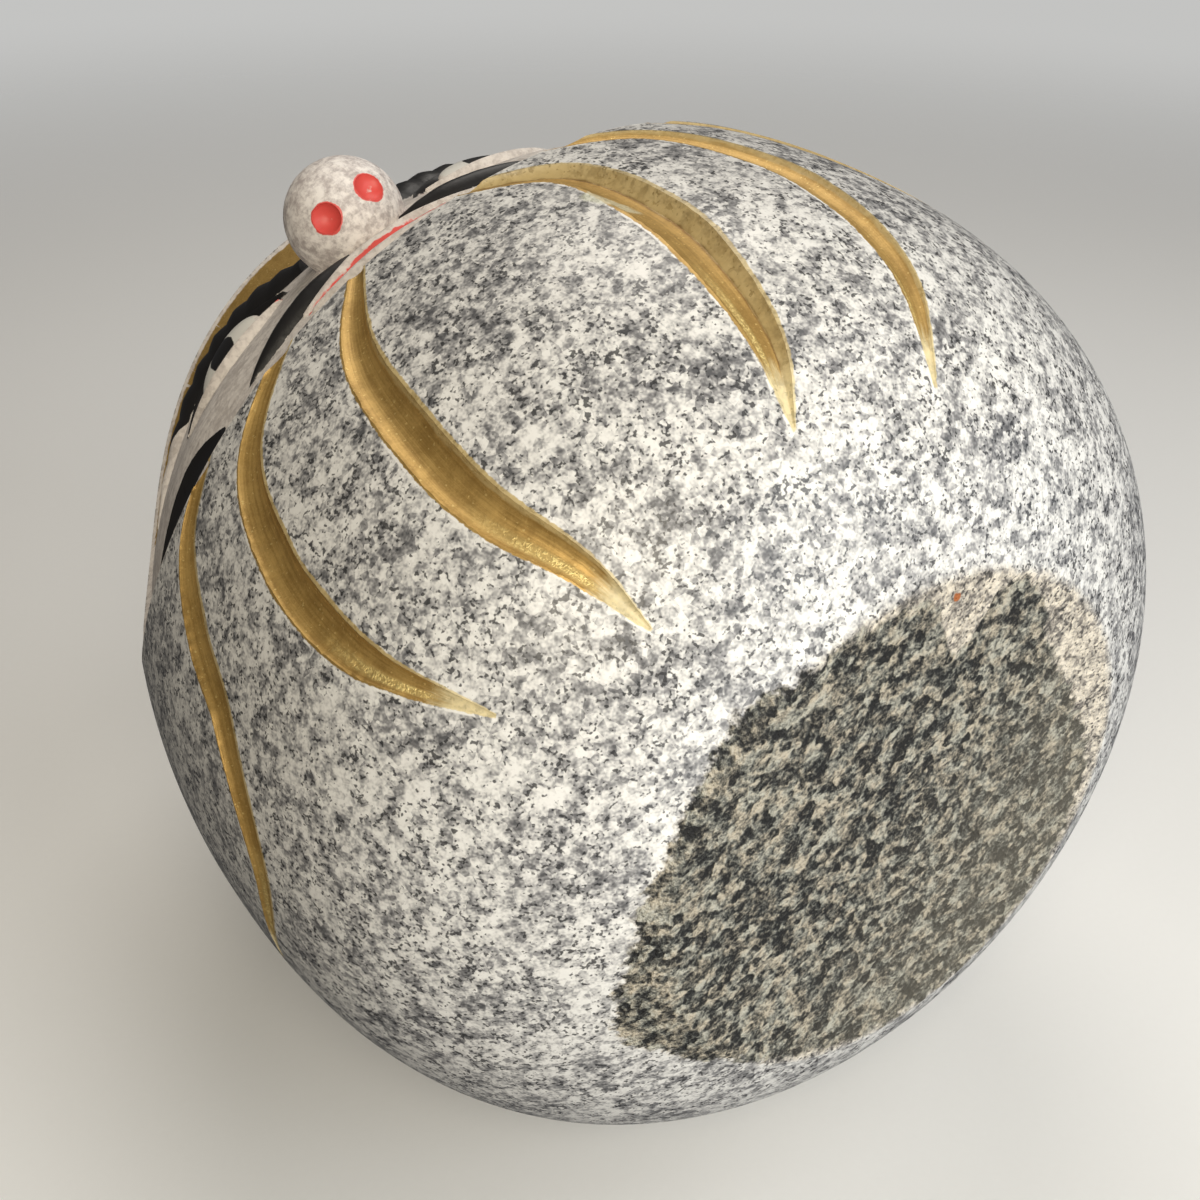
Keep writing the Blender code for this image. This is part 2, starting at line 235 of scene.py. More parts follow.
# The dark patch on the underside: azimuth in degrees and distance from the axis in mm
PATCH_OUTLINE = (
    (-180, 51.0), (-155, 50.5), (-132, 49.5), (-111, 51.7), (-94, 57.5), (-86, 62.0), (-81, 61.6),
    (-66, 56.7), (-58, 56.5), (-48, 54.3), (-36, 54.4), (-27, 54.6), (-18, 55.0), (-9, 51.8),
    (-2, 50.3), (5, 50.2), (15, 48.0), (24, 48.7), (28, 44.0), (31, 38.0), (36, 34.5), (40, 38.5),
    (43, 46.5), (47, 49.0), (55, 48.7), (62, 46.0), (68, 41.5), (82, 40.0), (103, 42.0),
    (122, 47.5), (145, 50.0), (180, 51.0),
)
PATCH_TOP = 12.0 * MM
BASE_RADIUS = 51.0 * MM
RUST_PLACE = (24.3 * MM, -40.3 * MM, 0.0)
RUST_RADIUS = 0.8 * MM

# Uneven edges of paint and stains: waves a metre, and how far two of the edges are pushed out
FINE_UNEVEN_SCALE = 850.0
BROAD_UNEVEN_SCALE = 330.0
GOLD_OVER_EDGE = 0.1 * MM
NOSE_OVER_EDGE = 0.25 * MM

# Honed granite: grains a metre, and tones from black quartz to white feldspar
CLUMP_SCALE = 260.0
CLUMP_ROUGHNESS = 0.95
DRIFT_SCALE = 75.0
DRIFT_SHARE = 0.26
CRYSTAL_SCALE = 780.0
CRYSTAL_SHARE = 0.17
GRANITE_TONES = (
    (0.490, (0.100, 0.100, 0.105, 1.0)),
    (0.575, (0.200, 0.197, 0.200, 1.0)),
    (0.650, (0.350, 0.344, 0.342, 1.0)),
    (0.710, (0.545, 0.534, 0.520, 1.0)),
    (0.790, (0.750, 0.734, 0.702, 1.0)),
    (0.875, (0.860, 0.845, 0.810, 1.0)),
)
FLECK_SCALE = 1250.0
FLECK_CLUSTER_SCALE = 240.0
FLECK_CLUSTER_SHARE = 0.38
FLECK_CLUMP_SHARE = 0.35
FLECK_NONE = 0.780
FLECK_FULL = 0.680
MICA_COVER = 0.85
MICA_BLACK = (0.040, 0.040, 0.042, 1.0)
# Paler worked face: the stone's own finish, raised further as painted light where the lamps leave it dim
WORKED_SHARE = 0.65
WORKED_PALE_AND_PAINTED_LIGHT = (0.80, 0.715, 0.645, 1.0)
NOSE_GREY = (0.50, 0.44, 0.42, 1.0)
NOSE_WHITE = (0.97, 0.91, 0.86, 1.0)
NOSE_MOTTLE_SCALE = 500.0
# White of chipped stone at the groove edges, partly a painted highlight on the broken crystals
CHIP_WHITE_AND_HIGHLIGHT = (0.90, 0.88, 0.84, 1.0)
PIT_SCALE = 900.0
PIT_SHARE = 0.5
TOOLING_SCALE = 230.0
TOOLING_SHARE = 0.7
STONE_RELIEF = 0.1 * MM
HONED_ROUGHNESS = 0.36
MICA_ROUGHNESS = 0.26
WORKED_ROUGHNESS = 0.75

# Rough sawn underside: grains a metre, and tones from black to cream
SAWN_WARP_SCALE = 900.0
SAWN_WARP = 1.3 * MM
SAWN_GRAIN_SCALE = 560.0
SAWN_SMOOTHNESS = 0.40
SAWN_GRAIN_SHARE = 0.40
GRIT_SCALE = 1050.0
SAWN_PATCH_SCALE = 190.0
SAWN_PATCH_SHARE = 0.55
SAWN_TONE_START = 0.4
SAWN_TONES = (
    (0.360, (0.006, 0.006, 0.006, 1.0)),
    (0.440, (0.024, 0.024, 0.022, 1.0)),
    (0.500, (0.070, 0.070, 0.062, 1.0)),
    (0.565, (0.140, 0.138, 0.119, 1.0)),
    (0.630, (0.225, 0.217, 0.184, 1.0)),
    (0.710, (0.345, 0.328, 0.274, 1.0)),
    (0.790, (0.500, 0.475, 0.400, 1.0)),
)
SAWN_HUE_SCALE = 260.0
SAWN_COOL = (0.98, 1.00, 1.00, 1.0)
SAWN_WARM = (1.08, 1.00, 0.92, 1.0)
FAR_SIDE_BEIGE = (0.36, 0.325, 0.245, 1.0)
FAR_SIDE_SHARE = 0.22
FAR_SIDE_SLANT = 0.55
SAWN_CREAM = (0.98, 0.90, 0.78, 1.0)
SAWN_ROUGHNESS = 0.72
SAWN_RELIEF = 1.0 * MM
RUST_BROWN = (0.42, 0.13, 0.035, 1.0)

# Gold and other paint
BRUSH_MARKS_LENGTHWISE = 45.0
BRUSH_MARKS_ACROSS = 7.0
STREAK_SHARE = 0.6
CLOUD_SCALE = 170.0
CLOUD_SHARE = 0.6
SPARK_SCALE = 3200.0
SPARK_SHARE = 0.10
# Painted glints and a painted highlight band on the gold, with the bump the band gives
PAINTED_GLINT_SHARE = 0.35
HIGHLIGHT_BREAKUP_SCALE = 1700.0
HIGHLIGHT_WEAKEST = 0.35
HIGHLIGHT_BAND_RELIEF = 1.5
CLOUD_RELIEF = 0.5
GOLD_SMOOTHEST = 0.40
GOLD_ROUGHEST = 0.52
GOLD_DARK = (0.375, 0.228, 0.063, 1.0)
GOLD_LIGHT = (0.600, 0.392, 0.128, 1.0)
GOLD_PAINTED_HIGHLIGHT = (1.0, 0.80, 0.33, 1.0)
GOLD_METAL = 0.50
GOLD_RELIEF = 0.10 * MM
# Painted shade darkening the gold in the crease of the creased groove
GOLD_CREASE_SHADE = (0.36, 0.28, 0.20, 1.0)
CREASE_SHADE_SHARE = 0.8
LIT_LINE = 0.45
BRISTLE_REACH = 14.0 * MM
BRISTLE_SHARE = 0.30
DRY_BRUSH_LENGTHWISE = 170.0
DRY_BRUSH_ACROSS = 4.5
WASH_RAGGED = 8.0 * MM
WASH_TINT = (1.0, 0.86, 0.52, 1.0)
WASH_TIP = (0.80, 0.68, 0.40, 1.0)
WASH_KHAKI = (0.475, 0.350, 0.150, 1.0)
SMEAR_GREEN = (0.74, 0.74, 0.56, 1.0)
SMEAR_SHARE = 0.65
SMEAR_HIDES_GOLD = 0.8
EYE_WHITE = (0.80, 0.78, 0.72, 1.0)
PAINT_RED = (0.78, 0.100, 0.085, 1.0)
PAINT_BLACK = (0.012, 0.011, 0.011, 1.0)
PAINT_ROUGHNESS = 0.42
PAINT_RIPPLE_SCALE = 600.0
PAINT_RELIEF = 0.06 * MM

# Camera, in the statue's frame
CAMERA_PLACE = Vector((-68.5, -241.4, -151.9)) * MM
CAMERA_RIGHT = Vector((0.7549, 0.3553, -0.5513))
CAMERA_UP = Vector((0.6288, -0.6310, 0.4544))
CAMERA_BACK = Vector((-0.1864, -0.6897, -0.6997))
FOCAL_PIXELS = 1621.5
FRAME_PIXELS = 1200.0
SENSOR = 36.0
NEAREST_SEEN = 0.01

# Floor, and the sheet behind the statue's back where it leans in the photograph's view
PAPER_TINT = (0.92, 0.92, 0.91, 1.0)
PAPER_REACH = 1.2
PAPER_ROUGHNESS = 0.8
PAPER_FADES_FROM = 0.45
PAPER_FADES_TO = 0.95
FIBRE_SCALE = 600.0
FIBRE_SHARE = 0.05
FIBRE_GREY = (0.5, 0.5, 0.5, 1.0)
FIBRE_RELIEF = 0.02 * MM
REST_FACING = Vector((0.454, -0.886, 0.0)).normalized()
REST_AWAY = 1.003 * HALF_WIDTH
# Keeps the floor and the flat underside apart for the ray tracer
FLOOR_GAP = 0.1 * MM

# Soft lights: direction in the camera's right, up and back, energy in watts, tint
SOFT_LIGHTS = (
    ("front", (0.0, 0.0, 1.0), 4.7, (1.0, 0.91, 0.74)),
    ("front_right", (0.7, 0.0, 0.7), 3.0, (0.94, 0.98, 1.0)),
    ("low_right", (0.6, -0.6, 0.5), 3.4, (1.0, 1.0, 0.98)),
    ("high_right", (0.6, 0.6, 0.5), 1.2, (1.0, 1.0, 1.0)),
    ("side", (1.0, 0.0, 0.1), 0.6, (0.75, 0.86, 1.0)),
    ("high", (0.0, 1.0, 0.1), 2.8, (1.0, 0.95, 0.88)),
    ("behind", (0.0, 0.1, -1.0), 5.0, (1.0, 0.98, 0.95)),
)
LIGHT_DISTANCE = 0.9
LIGHT_SIZE = 0.6
LIGHT_AIM_SHARE = 0.45
STUDIO_LIGHT = (0.60, 0.60, 0.61, 1.0)
STUDIO_STRENGTH = 0.12
BACKDROP = (0.55, 0.55, 0.54, 1.0)


def profile_radius(heights):
    """Radius of the egg at heights above the underside."""
    belly = BELLY_SHARE * HEIGHT
    heights = np.asarray(heights, float)
    below = heights < belly
    reach = np.where(below, LOWER_REACH_SHARE * HEIGHT, HEIGHT - belly)
    power = np.where(below, LOWER_ROUNDNESS, UPPER_ROUNDNESS)
    share = np.minimum(np.abs(heights - belly) / reach, 1.0)
    return HALF_WIDTH * (1.0 - share ** power) ** (1.0 / power)


def profile_slope(heights):
    """Change of the egg's radius with height."""
    low = np.clip(heights - SLOPE_STEP, 0.0, SLOPE_TOP - 2.0 * SLOPE_STEP)
    return (profile_radius(low + 2.0 * SLOPE_STEP) - profile_radius(low)) / (2.0 * SLOPE_STEP)


def skin(azimuths, heights):
    """Points and outward normals of the block's surface."""
    azimuths, heights = np.broadcast_arrays(np.asarray(azimuths, float), np.asarray(heights, float))
    radius = profile_radius(heights)
    points = np.stack([radius * np.sin(azimuths), -radius * np.cos(azimuths), heights], -1)
    normals = np.stack([np.sin(azimuths), -np.cos(azimuths), -profile_slope(heights)], -1)
    return points, normals / np.linalg.norm(normals, axis=-1, keepdims=True)


def face_spot(turn_share, height_share):
    """Azimuth and height of a place given in shares of the opening's half turn and half height."""
    heights = (OPENING_CENTRE_SHARE + np.asarray(height_share) * OPENING_HALF_HEIGHT_SHARE) * HEIGHT
    return np.radians(np.asarray(turn_share) * OPENING_HALF_TURN), heights


def face_shares(azimuths, heights):
    turn = np.degrees(azimuths) / OPENING_HALF_TURN
    rise = (heights / HEIGHT - OPENING_CENTRE_SHARE) / OPENING_HALF_HEIGHT_SHARE
    return turn, rise


def swell(across, rise, place, spread):
    """Soft round mound, one on each side of the face's middle."""
    return np.exp(-((np.abs(across) - place[0]) / spread[0]) ** 2 - ((rise - place[1]) / spread[1]) ** 2)


def face_depth(azimuths, heights):
    """Depth of the face under the block's surface, with cheeks, eye hollows and mouth swelling."""
    across, rise = face_shares(azimuths, heights)
    share = np.minimum(np.abs(across), 1.0)
    depth = FACE_DEPTH + (CHEEK_DEPTH - FACE_DEPTH) * share * share
    for deeper, place, spread in FACE_SWELLS:
        depth = depth + deeper * swell(across, rise, place, spread)
    return depth


def no_depth(azimuths, heights):
    return np.zeros(np.shape(azimuths))


def mesh_from(name, points, faces):
    mesh = bpy.data.meshes.new(name)
    mesh.from_pydata([tuple(point) for point in points], [], faces)
    work = bmesh.new()
    work.from_mesh(mesh)
    if work.calc_volume(signed=True) < 0.0:
        bmesh.ops.reverse_faces(work, faces=work.faces)
    work.to_mesh(mesh)
    work.free()
    return mesh


def loft(name, rings, first_tip=None, last_tip=None):
    """Closed shape through equal rings of points, its ends capped by a face or drawn to a tip."""
    rings = np.asarray(rings, float)
    layers, count = rings.shape[:2]
    points = list(rings.reshape(-1, 3))
    faces = []
    for layer in range(layers - 1):
        start = layer * count
        for index in range(count):
            after = (index + 1) % count
            faces.append((start + index, start + after, start + count + after, start + count + index))
    first = list(range(count))[::-1]
    last = [(layers - 1) * count + index for index in range(count)]
    for layer, tip in ((first, first_tip), (last, last_tip)):
        if tip is None:
            faces.append(tuple(layer))
            continue
        points.append(np.asarray(tip, float))
        for index in range(count):
            faces.append((layer[index], layer[(index + 1) % count], len(points) - 1))
    return mesh_from(name, points, faces)


def hidden_tool(name, mesh):
    tool = bpy.data.objects.new(name, mesh)
    bpy.context.scene.collection.objects.link(tool)
    return tool


def block_mesh(name):
    """The egg-shaped block in rings of equal spacing along its profile."""
    samples = np.linspace(0.0, 1.0, PROFILE_SAMPLES)
    heights = HEIGHT * (0.5 - 0.5 * np.cos(math.pi * samples))
    radii = profile_radius(heights)
    lengths = np.concatenate([[0.0], np.cumsum(np.hypot(np.diff(heights), np.diff(radii)))])
    wanted = lengths[-1] * np.arange(BLOCK_RINGS) / BLOCK_RINGS
    azimuths = math.pi * (2.0 * np.arange(BLOCK_SEGMENTS) / BLOCK_SEGMENTS - 1.0)
    base_rim = skin(azimuths, 0.0)[0]
    rings = [base_rim * share for share in np.arange(1, BASE_RINGS) / BASE_RINGS]
    rings += [skin(azimuths, height)[0] for height in np.interp(wanted, lengths, heights)]
    return loft(name, rings, first_tip=(0.0, 0.0, 0.0), last_tip=(0.0, 0.0, HEIGHT))


def face_block_mesh(name):
    """The part of the stone behind the face: a dense front surface and a plain back inside the block."""
    heights = HEIGHT * np.linspace(FACE_LOW_SHARE, FACE_HIGH_SHARE, FACE_RINGS)
    azimuths = np.radians(np.linspace(-FACE_BLOCK_TURN, FACE_BLOCK_TURN, FACE_COLUMNS))
    inner_azimuths = azimuths[::-FACE_BACK_STEP]
    rings = []
    for height in heights:
        points, normals = skin(azimuths, height)
        front = points - face_depth(azimuths, height)[:, None] * normals
        back = skin(inner_azimuths, height)[0] * np.array([FACE_BLOCK_BACK, FACE_BLOCK_BACK, 1.0])
        rings.append(np.concatenate([front, back]))
    return loft(name, rings)


def opening_outline(count):
    """Azimuths and heights round the hood opening, a squared ellipse wrapped round the head."""
    angles = 2.0 * math.pi * np.arange(count) / count
    squareness = np.where(np.sin(angles) > 0.0, OPENING_UPPER_SQUARENESS, OPENING_LOWER_SQUARENESS)
    power = 2.0 / squareness
    across = np.sign(np.cos(angles)) * np.abs(np.cos(angles)) ** power
    rise = np.sign(np.sin(angles)) * np.abs(np.sin(angles)) ** power
    return face_spot(across, rise)


def inward_directions(points, normals):
    along = np.roll(points, -1, axis=0) - np.roll(points, 1, axis=0)
    inward = np.cross(normals, along)
    return inward / np.linalg.norm(inward, axis=-1, keepdims=True)


def opening_tool():
    """Funnel whose sloping side leaves the hood's bevelled edge."""
    points, normals = skin(*opening_outline(OPENING_POINTS))
    inward = inward_directions(points, normals)
    outer = points + OPENING_CUT_DEPTH * normals
    floor = points - OPENING_CUT_DEPTH * normals + HOOD_SLOPE_WIDTH * inward
    middle, out = skin(0.0, OPENING_CENTRE_SHARE * HEIGHT)
    in_front = middle + 2.0 * HALF_WIDTH * out
    behind = middle - 2.0 * OPENING_CUT_DEPTH * out
    return hidden_tool("opening", loft("opening", [outer, points, floor], in_front, behind))


def curve_through(controls, stations):
    """Rows along a smooth curve through the control rows."""
    controls = np.asarray(controls, float)
    first = 2.0 * controls[0] - controls[1]
    last = 2.0 * controls[-1] - controls[-2]
    padded = np.vstack([first, controls, last])
    spans = len(controls) - 1
    places = spans * np.arange(stations) / (stations - 1)
    span = np.minimum(places.astype(int), spans - 1)
    share = (places - span)[:, None]
    before, start, end, after = (padded[span + offset] for offset in range(4))
    bend = 2.0 * before - 5.0 * start + 4.0 * end - after
    twist = 3.0 * (start - end) + after - before
    return start + 0.5 * share * (end - before + share * (bend + share * twist))


def taper(widest, start_share=0.0, fullest=0.42):
    """Half width along a stroke: drawn to a point at its end, fullest part way down."""
    def width(share):
        opening = np.sin(0.5 * math.pi * np.minimum(share / fullest, 1.0))
        rising = start_share + (1.0 - start_share) * opening
        closing = np.cos(0.5 * math.pi * np.clip((share - fullest) / (1.0 - fullest), 0.0, 1.0))
        falling = closing ** STROKE_TIP_CURVE
        return widest * np.maximum(np.where(share < fullest, rising, falling), STROKE_TIP_WIDTH)
    return width


def wobble(shares, scale, seed):
    """Smooth uneven hand-cut variation from -1 to 1 along a stroke."""
    return np.array([noise.noise(Vector((share * scale, seed * 3.1, 0.5))) for share in shares])


class Stroke:
    """A tapered ridge or groove: its path on the stone, its half widths and its solid."""

    def __init__(self, name, pairs, depth, left, right, rise, section_power, chips=0.0, crease=0.0):
        self.name = name
        azimuths, heights = pairs[:, 0], pairs[:, 1]
        skin_points, self.normals = skin(azimuths, heights)
        self.points = skin_points - depth(azimuths, heights)[:, None] * self.normals
        along = np.gradient(self.points, axis=0)
        along /= np.linalg.norm(along, axis=1, keepdims=True)
        across = np.cross(along, self.normals)
        self.across = across / np.linalg.norm(across, axis=1, keepdims=True)
        shares = np.linspace(0.0, 1.0, len(pairs))
        seed = sum(map(ord, name)) % 97
        self.left = left(shares) * (1.0 + WAVER * wobble(shares, LEFT_WAVES, seed + 5))
        self.right = right(shares) * (1.0 + WAVER * wobble(shares, RIGHT_WAVES, seed + 9))
        self.painted_left = self.left
        self.painted_right = self.right
        if chips:
            bites = wobble(shares, CHIPS_A_STATION * len(pairs), seed) + CHIP_START
            self.right = self.right + chips * np.clip(bites, 0.0, 1.0)
            nicks = wobble(shares, SMALL_CHIPS_A_STATION * len(pairs), seed + 2)
            self.left = self.left + SMALL_CHIP_SHARE * chips * nicks
        self.rise = rise
        steps = np.diff(self.points, axis=0)
        self.lengths = np.concatenate([[0.0], np.cumsum(np.linalg.norm(steps, axis=1))])
        self.length = self.lengths[-1]
        self.tool = hidden_tool(name, self.solid(section_power, crease))

    def solid(self, section_power, crease):
        """Loft of rounded sections, highest or deepest at the crease, whose feet reach past the surface."""
        out = math.copysign(1.0, self.rise)
        sides = np.linspace(-1.0, 1.0, SECTION_POINTS)
        off_crease = np.where(sides < crease, crease - sides, sides - crease)
        lifts = 1.0 - (off_crease / np.where(sides < crease, 1.0 + crease, 1.0 - crease)) ** section_power
        widest = max((self.left + self.right).max() / 2.0, 1.0e-6)
        scale = np.minimum((self.left + self.right) / (2.0 * widest), 1.0)
        rings = []
        for index in range(1, len(self.points) - 1):
            foot = (np.abs(sides) > 0.999).astype(float)
            reach = np.where(sides < 0.0, self.left[index], self.right[index])
            sideways = sides * (reach + 0.5 * foot * OVERSHOOT)
            upward = self.rise * scale[index] * lifts - out * foot * OVERSHOOT
            ring = self.points[index] + sideways[:, None] * self.across[index]
            rings.append(ring + upward[:, None] * self.normals[index])
        first = self.points[0] - out * 0.5 * OVERSHOOT * self.normals[0]
        last = self.points[-1] - out * 0.5 * OVERSHOOT * self.normals[-1]
        return loft(self.name, rings, first, last)

    def measure(self, places, reach):
        """Signed distance to the painted border, distance along and sideways share, of near places."""
        border = np.full(len(places), reach)
        along = np.zeros(len(places))
        across = np.zeros(len(places))
        margin = reach + self.left.max() + self.right.max()
        low = self.points.min(axis=0) - margin
        high = self.points.max(axis=0) + margin
        chosen = np.nonzero(np.all((places > low) & (places < high), axis=1))[0]
        local = places[chosen]
        nearest = np.full(len(chosen), np.inf)
        found = np.zeros(len(chosen), int)
        for index, point in enumerate(self.points):
            distance = np.sum((local - point) ** 2, axis=1)
            closer = distance < nearest
            nearest[closer] = distance[closer]
            found[closer] = index
        offset = local - self.points[found]
        tangent = np.cross(self.normals[found], self.across[found])
        sideways = np.sum(offset * self.across[found], axis=1)
        lengthwise = np.sum(offset * tangent, axis=1)
        ended = (found == 0) | (found == len(self.points) - 1)
        beyond = np.where(ended, np.abs(lengthwise), 0.0)
        place_along = self.lengths[found] + lengthwise
        half_left = np.interp(place_along, self.lengths, self.painted_left)
        half_right = np.interp(place_along, self.lengths, self.painted_right)
        half = np.where(sideways < 0.0, half_left, half_right)
        border[chosen] = np.minimum(np.hypot(sideways, beyond) - half, reach)
        along[chosen] = place_along
        across[chosen] = sideways / np.maximum(half, 0.2 * MM)
        return border, along, across


def groove_strokes():
    strokes = []
    for name, controls in GROOVES.items():
        spots = np.array([(math.radians(turn), share * HEIGHT) for turn, share in controls])
        spots[0] += GROOVE_START_SHARE * (spots[0] - spots[1])
        pairs = curve_through(spots, GROOVE_STATIONS)
        width = taper(GROOVE_HALF_WIDTH, start_share=GROOVE_START_WIDTH)
        shape = (width, width, -ROUND_GROOVE_DEPTH, ROUND_GROOVE_POWER, GROOVE_CHIPS)
        if name == CREASED_GROOVE:
            wider = taper(CREASED_WIDER * GROOVE_HALF_WIDTH, start_share=GROOVE_START_WIDTH)
            shape = (wider, width, -GROOVE_DEPTH, CREASED_GROOVE_POWER, GROOVE_CHIPS, CREASE_PLACE)
        stroke = Stroke("groove_" + name, pairs, no_depth, *shape)
        stroke.painted_left = stroke.painted_left * (1.0 + GROOVE_PAINT[name][1])
        strokes.append(stroke)
    return strokes


def mirrored(path):
    return tuple((-across, rise) for across, rise in path)


def face_stroke(name, path, half_width, rise):
    spots = np.asarray(path, float)
    pairs = curve_through(np.stack(face_spot(spots[:, 0], spots[:, 1]), -1), STROKE_STATIONS)
    width = taper(half_width, start_share=FACE_STROKE_START_WIDTH)
    return Stroke(name, pairs, face_depth, width, width, rise, FACE_STROKE_ROUNDNESS)


def brow_stroke(name, path, flip):
    """Bushy brow whose upper edge is a row of pointed tufts."""
    stations = STATIONS_PER_TUFT * BROW_TUFTS + 1
    spots = np.asarray(path, float)
    pairs = curve_through(np.stack(face_spot(spots[:, 0], spots[:, 1]), -1), stations)
    smooth = taper(BROW_HALF_WIDTH, start_share=BROW_START_WIDTH, fullest=BROW_FULLEST)

    def tufted(share):
        phase = (share * BROW_TUFTS + 0.5) % 1.0
        tip = 1.0 - np.abs(2.0 * phase - 1.0)
        return smooth(share) * (BETWEEN_TUFTS + TUFT_SHARE * tip ** TUFT_CURVE)

    left, right = (smooth, tufted) if flip else (tufted, smooth)
    return Stroke(name, pairs, face_depth, left, right, BROW_RISE, BROW_ROUNDNESS)


def ball(name, centre, radii, turn=0.0, segments=64, rings=40):
    work = bmesh.new()
    bmesh.ops.create_uvsphere(work, u_segments=segments, v_segments=rings, radius=1.0)
    bmesh.ops.scale(work, vec=radii, verts=work.verts)
    bmesh.ops.rotate(work, cent=(0.0, 0.0, 0.0), matrix=Matrix.Rotation(turn, 3, "Z"), verts=work.verts)
    bmesh.ops.translate(work, vec=centre, verts=work.verts)
    mesh = bpy.data.meshes.new(name)
    work.to_mesh(mesh)
    work.free()
    return hidden_tool(name, mesh)


def spot_on_face(across, rise, lift):
    azimuth, height = face_spot(across, rise)
    point, normal = skin(azimuth, height)
    return point + (lift - face_depth(azimuth, height)) * normal, float(azimuth)


def nose_centre():
    azimuth, height = face_spot(0.0, NOSE_HEIGHT)
    point, normal = skin(azimuth, height)
    return point + (NOSE_LIFT - FACE_DEPTH) * normal


def nostril_centres():
    forward = -math.sqrt(1.0 - NOSTRIL_SPREAD ** 2 - NOSTRIL_DROP ** 2)
    centres = []
    for side in (-1.0, 1.0):
        away = np.array([side * NOSTRIL_SPREAD, forward, -NOSTRIL_DROP])
        centres.append(nose_centre() + (NOSE_RADIUS + NOSTRIL_SUNK * NOSTRIL_RADIUS) * away)
    return centres


def beard_strokes():
    strokes = []
    for index in range(BEARD_STROKES):
        turn = math.radians(BEARD_FAN_DEGREES * (index / (BEARD_STROKES - 1) - 0.5))
        reaches = (BEARD_INNER_REACH, 0.5 * (BEARD_INNER_REACH + BEARD_OUTER_REACH), BEARD_OUTER_REACH)
        path = [(reach * math.sin(turn), -reach * math.cos(turn)) for reach in reaches]
        strokes.append(face_stroke(f"beard_{index}", path, BEARD_HALF_WIDTH, -BEARD_DEPTH))
    for label, path in (("left", mirrored(SIDE_BEARD_PATH)), ("right", SIDE_BEARD_PATH)):
        strokes.append(face_stroke("side_beard_" + label, path, SIDE_BEARD_HALF_WIDTH, -BEARD_DEPTH))
    return strokes


def joined(name, tools):
    """One tool made of several that don't touch."""
    work = bmesh.new()
    for tool in tools:
        work.from_mesh(tool.data)
        bpy.data.objects.remove(tool, do_unlink=True)
    mesh = bpy.data.meshes.new(name)
    work.to_mesh(mesh)
    work.free()
    return hidden_tool(name, mesh)


def carve(body, tool, operation):
    """Boolean of body and tool, applied to body's mesh; the tool is used up."""
    modifier = body.modifiers.new(tool.name, "BOOLEAN")
    modifier.object = tool
    modifier.operation = operation
    modifier.solver = "MANIFOLD"
    graph = bpy.context.evaluated_depsgraph_get()
    carved = bpy.data.meshes.new_from_object(body.evaluated_get(graph))
    body.modifiers.clear()
    body.data = carved
    bpy.data.objects.remove(tool, do_unlink=True)


def carved_face():
    """The face as one closed mesh, with the strokes that shaped it."""
    brows, upper_lids, lower_lids, moustache = [], [], [], []
    for label, flip in (("left", True), ("right", False)):
        sided = mirrored if flip else tuple
        brows.append(brow_stroke("brow_" + label, sided(BROW_PATH), flip))
        upper_lids.append(face_stroke("upper_lid_" + label, sided(UPPER_LID_PATH), LID_HALF_WIDTH, LID_RISE))
        lower_lids.append(face_stroke("lower_lid_" + label, sided(LOWER_LID_PATH), LID_HALF_WIDTH, LID_RISE))
        hair = face_stroke("moustache_" + label, sided(MOUSTACHE_PATH), MOUSTACHE_HALF_WIDTH, MOUSTACHE_RISE)
        moustache.append(hair)
    lips = [face_stroke("upper_lip", UPPER_LIP_PATH, LIP_HALF_WIDTH, LIP_RISE)]
    lips.append(face_stroke("lower_lip", LOWER_LIP_PATH, LIP_HALF_WIDTH, LIP_RISE))
    # Only painted, so its shape is used for measuring alone
    mouth = face_stroke("mouth_line", MOUTH_LINE, MOUTH_LINE_HALF_WIDTH, LIP_RISE)
    bpy.data.objects.remove(mouth.tool, do_unlink=True)
    beard = beard_strokes()
    eyes = []
    for side in (-1.0, 1.0):
        centre, turn = spot_on_face(side * EYE_PLACE[0], EYE_PLACE[1], 0.0)
        radii = (EYE_HALF_WIDTH, EYE_BULGE, EYE_HALF_HEIGHT)
        eyes.append(ball(f"eye_{side:+.0f}", centre, radii, turn))
    nose = ball("nose", nose_centre(), (NOSE_RADIUS,) * 3, segments=80, rings=48)
    nostrils = [
        ball(f"nostril_{index}", centre, (NOSTRIL_RADIUS,) * 3, segments=32, rings=20)
        for index, centre in enumerate(nostril_centres())
    ]

    face = hidden_tool("face_block", face_block_mesh("face_block"))
    raised = [nose, *eyes] + [stroke.tool for stroke in brows + moustache]
    carve(face, joined("raised_forms", raised), "UNION")
    for upper, lower in zip(upper_lids, lower_lids):
        carve(face, upper.tool, "UNION")
        carve(face, lower.tool, "UNION")
    for stroke in lips:
        carve(face, stroke.tool, "UNION")
    carve(face, joined("sunk_forms", nostrils + [stroke.tool for stroke in beard]), "DIFFERENCE")
    strokes = {"brows": brows, "upper_lids": upper_lids, "moustache": moustache, "beard": beard}
    return face, {"mouth": [mouth], **strokes}


def carved_stone():
    """The whole carving as one closed mesh, with the strokes that shaped it."""
    grooves = groove_strokes()
    face, strokes = carved_face()
    stone = hidden_tool("carved_stone", block_mesh("carved_stone"))
    carve(stone, opening_tool(), "DIFFERENCE")
    carve(stone, joined("grooves", [stroke.tool for stroke in grooves]), "DIFFERENCE")
    carve(stone, face, "UNION")
    return stone, {"grooves": grooves, **strokes}


def vertex_places(mesh):
    places = np.empty(len(mesh.vertices) * 3)
    mesh.vertices.foreach_get("co", places)
    return places.reshape(-1, 3)


def sunk_depth(places):
    """How far places lie under the block's surface, square to it."""
    radius = np.hypot(places[:, 0], places[:, 1])
    heights = np.clip(places[:, 2], 0.0, HEIGHT)
    return (profile_radius(heights) - radius) / np.sqrt(1.0 + profile_slope(heights) ** 2)


def broad_enough(face):
    """Whether a face is no sliver, so that it can be cut without folding."""
    longest = max(edge.calc_length() for edge in face.edges)
    return 2.0 * face.calc_area() / longest > SLIVER


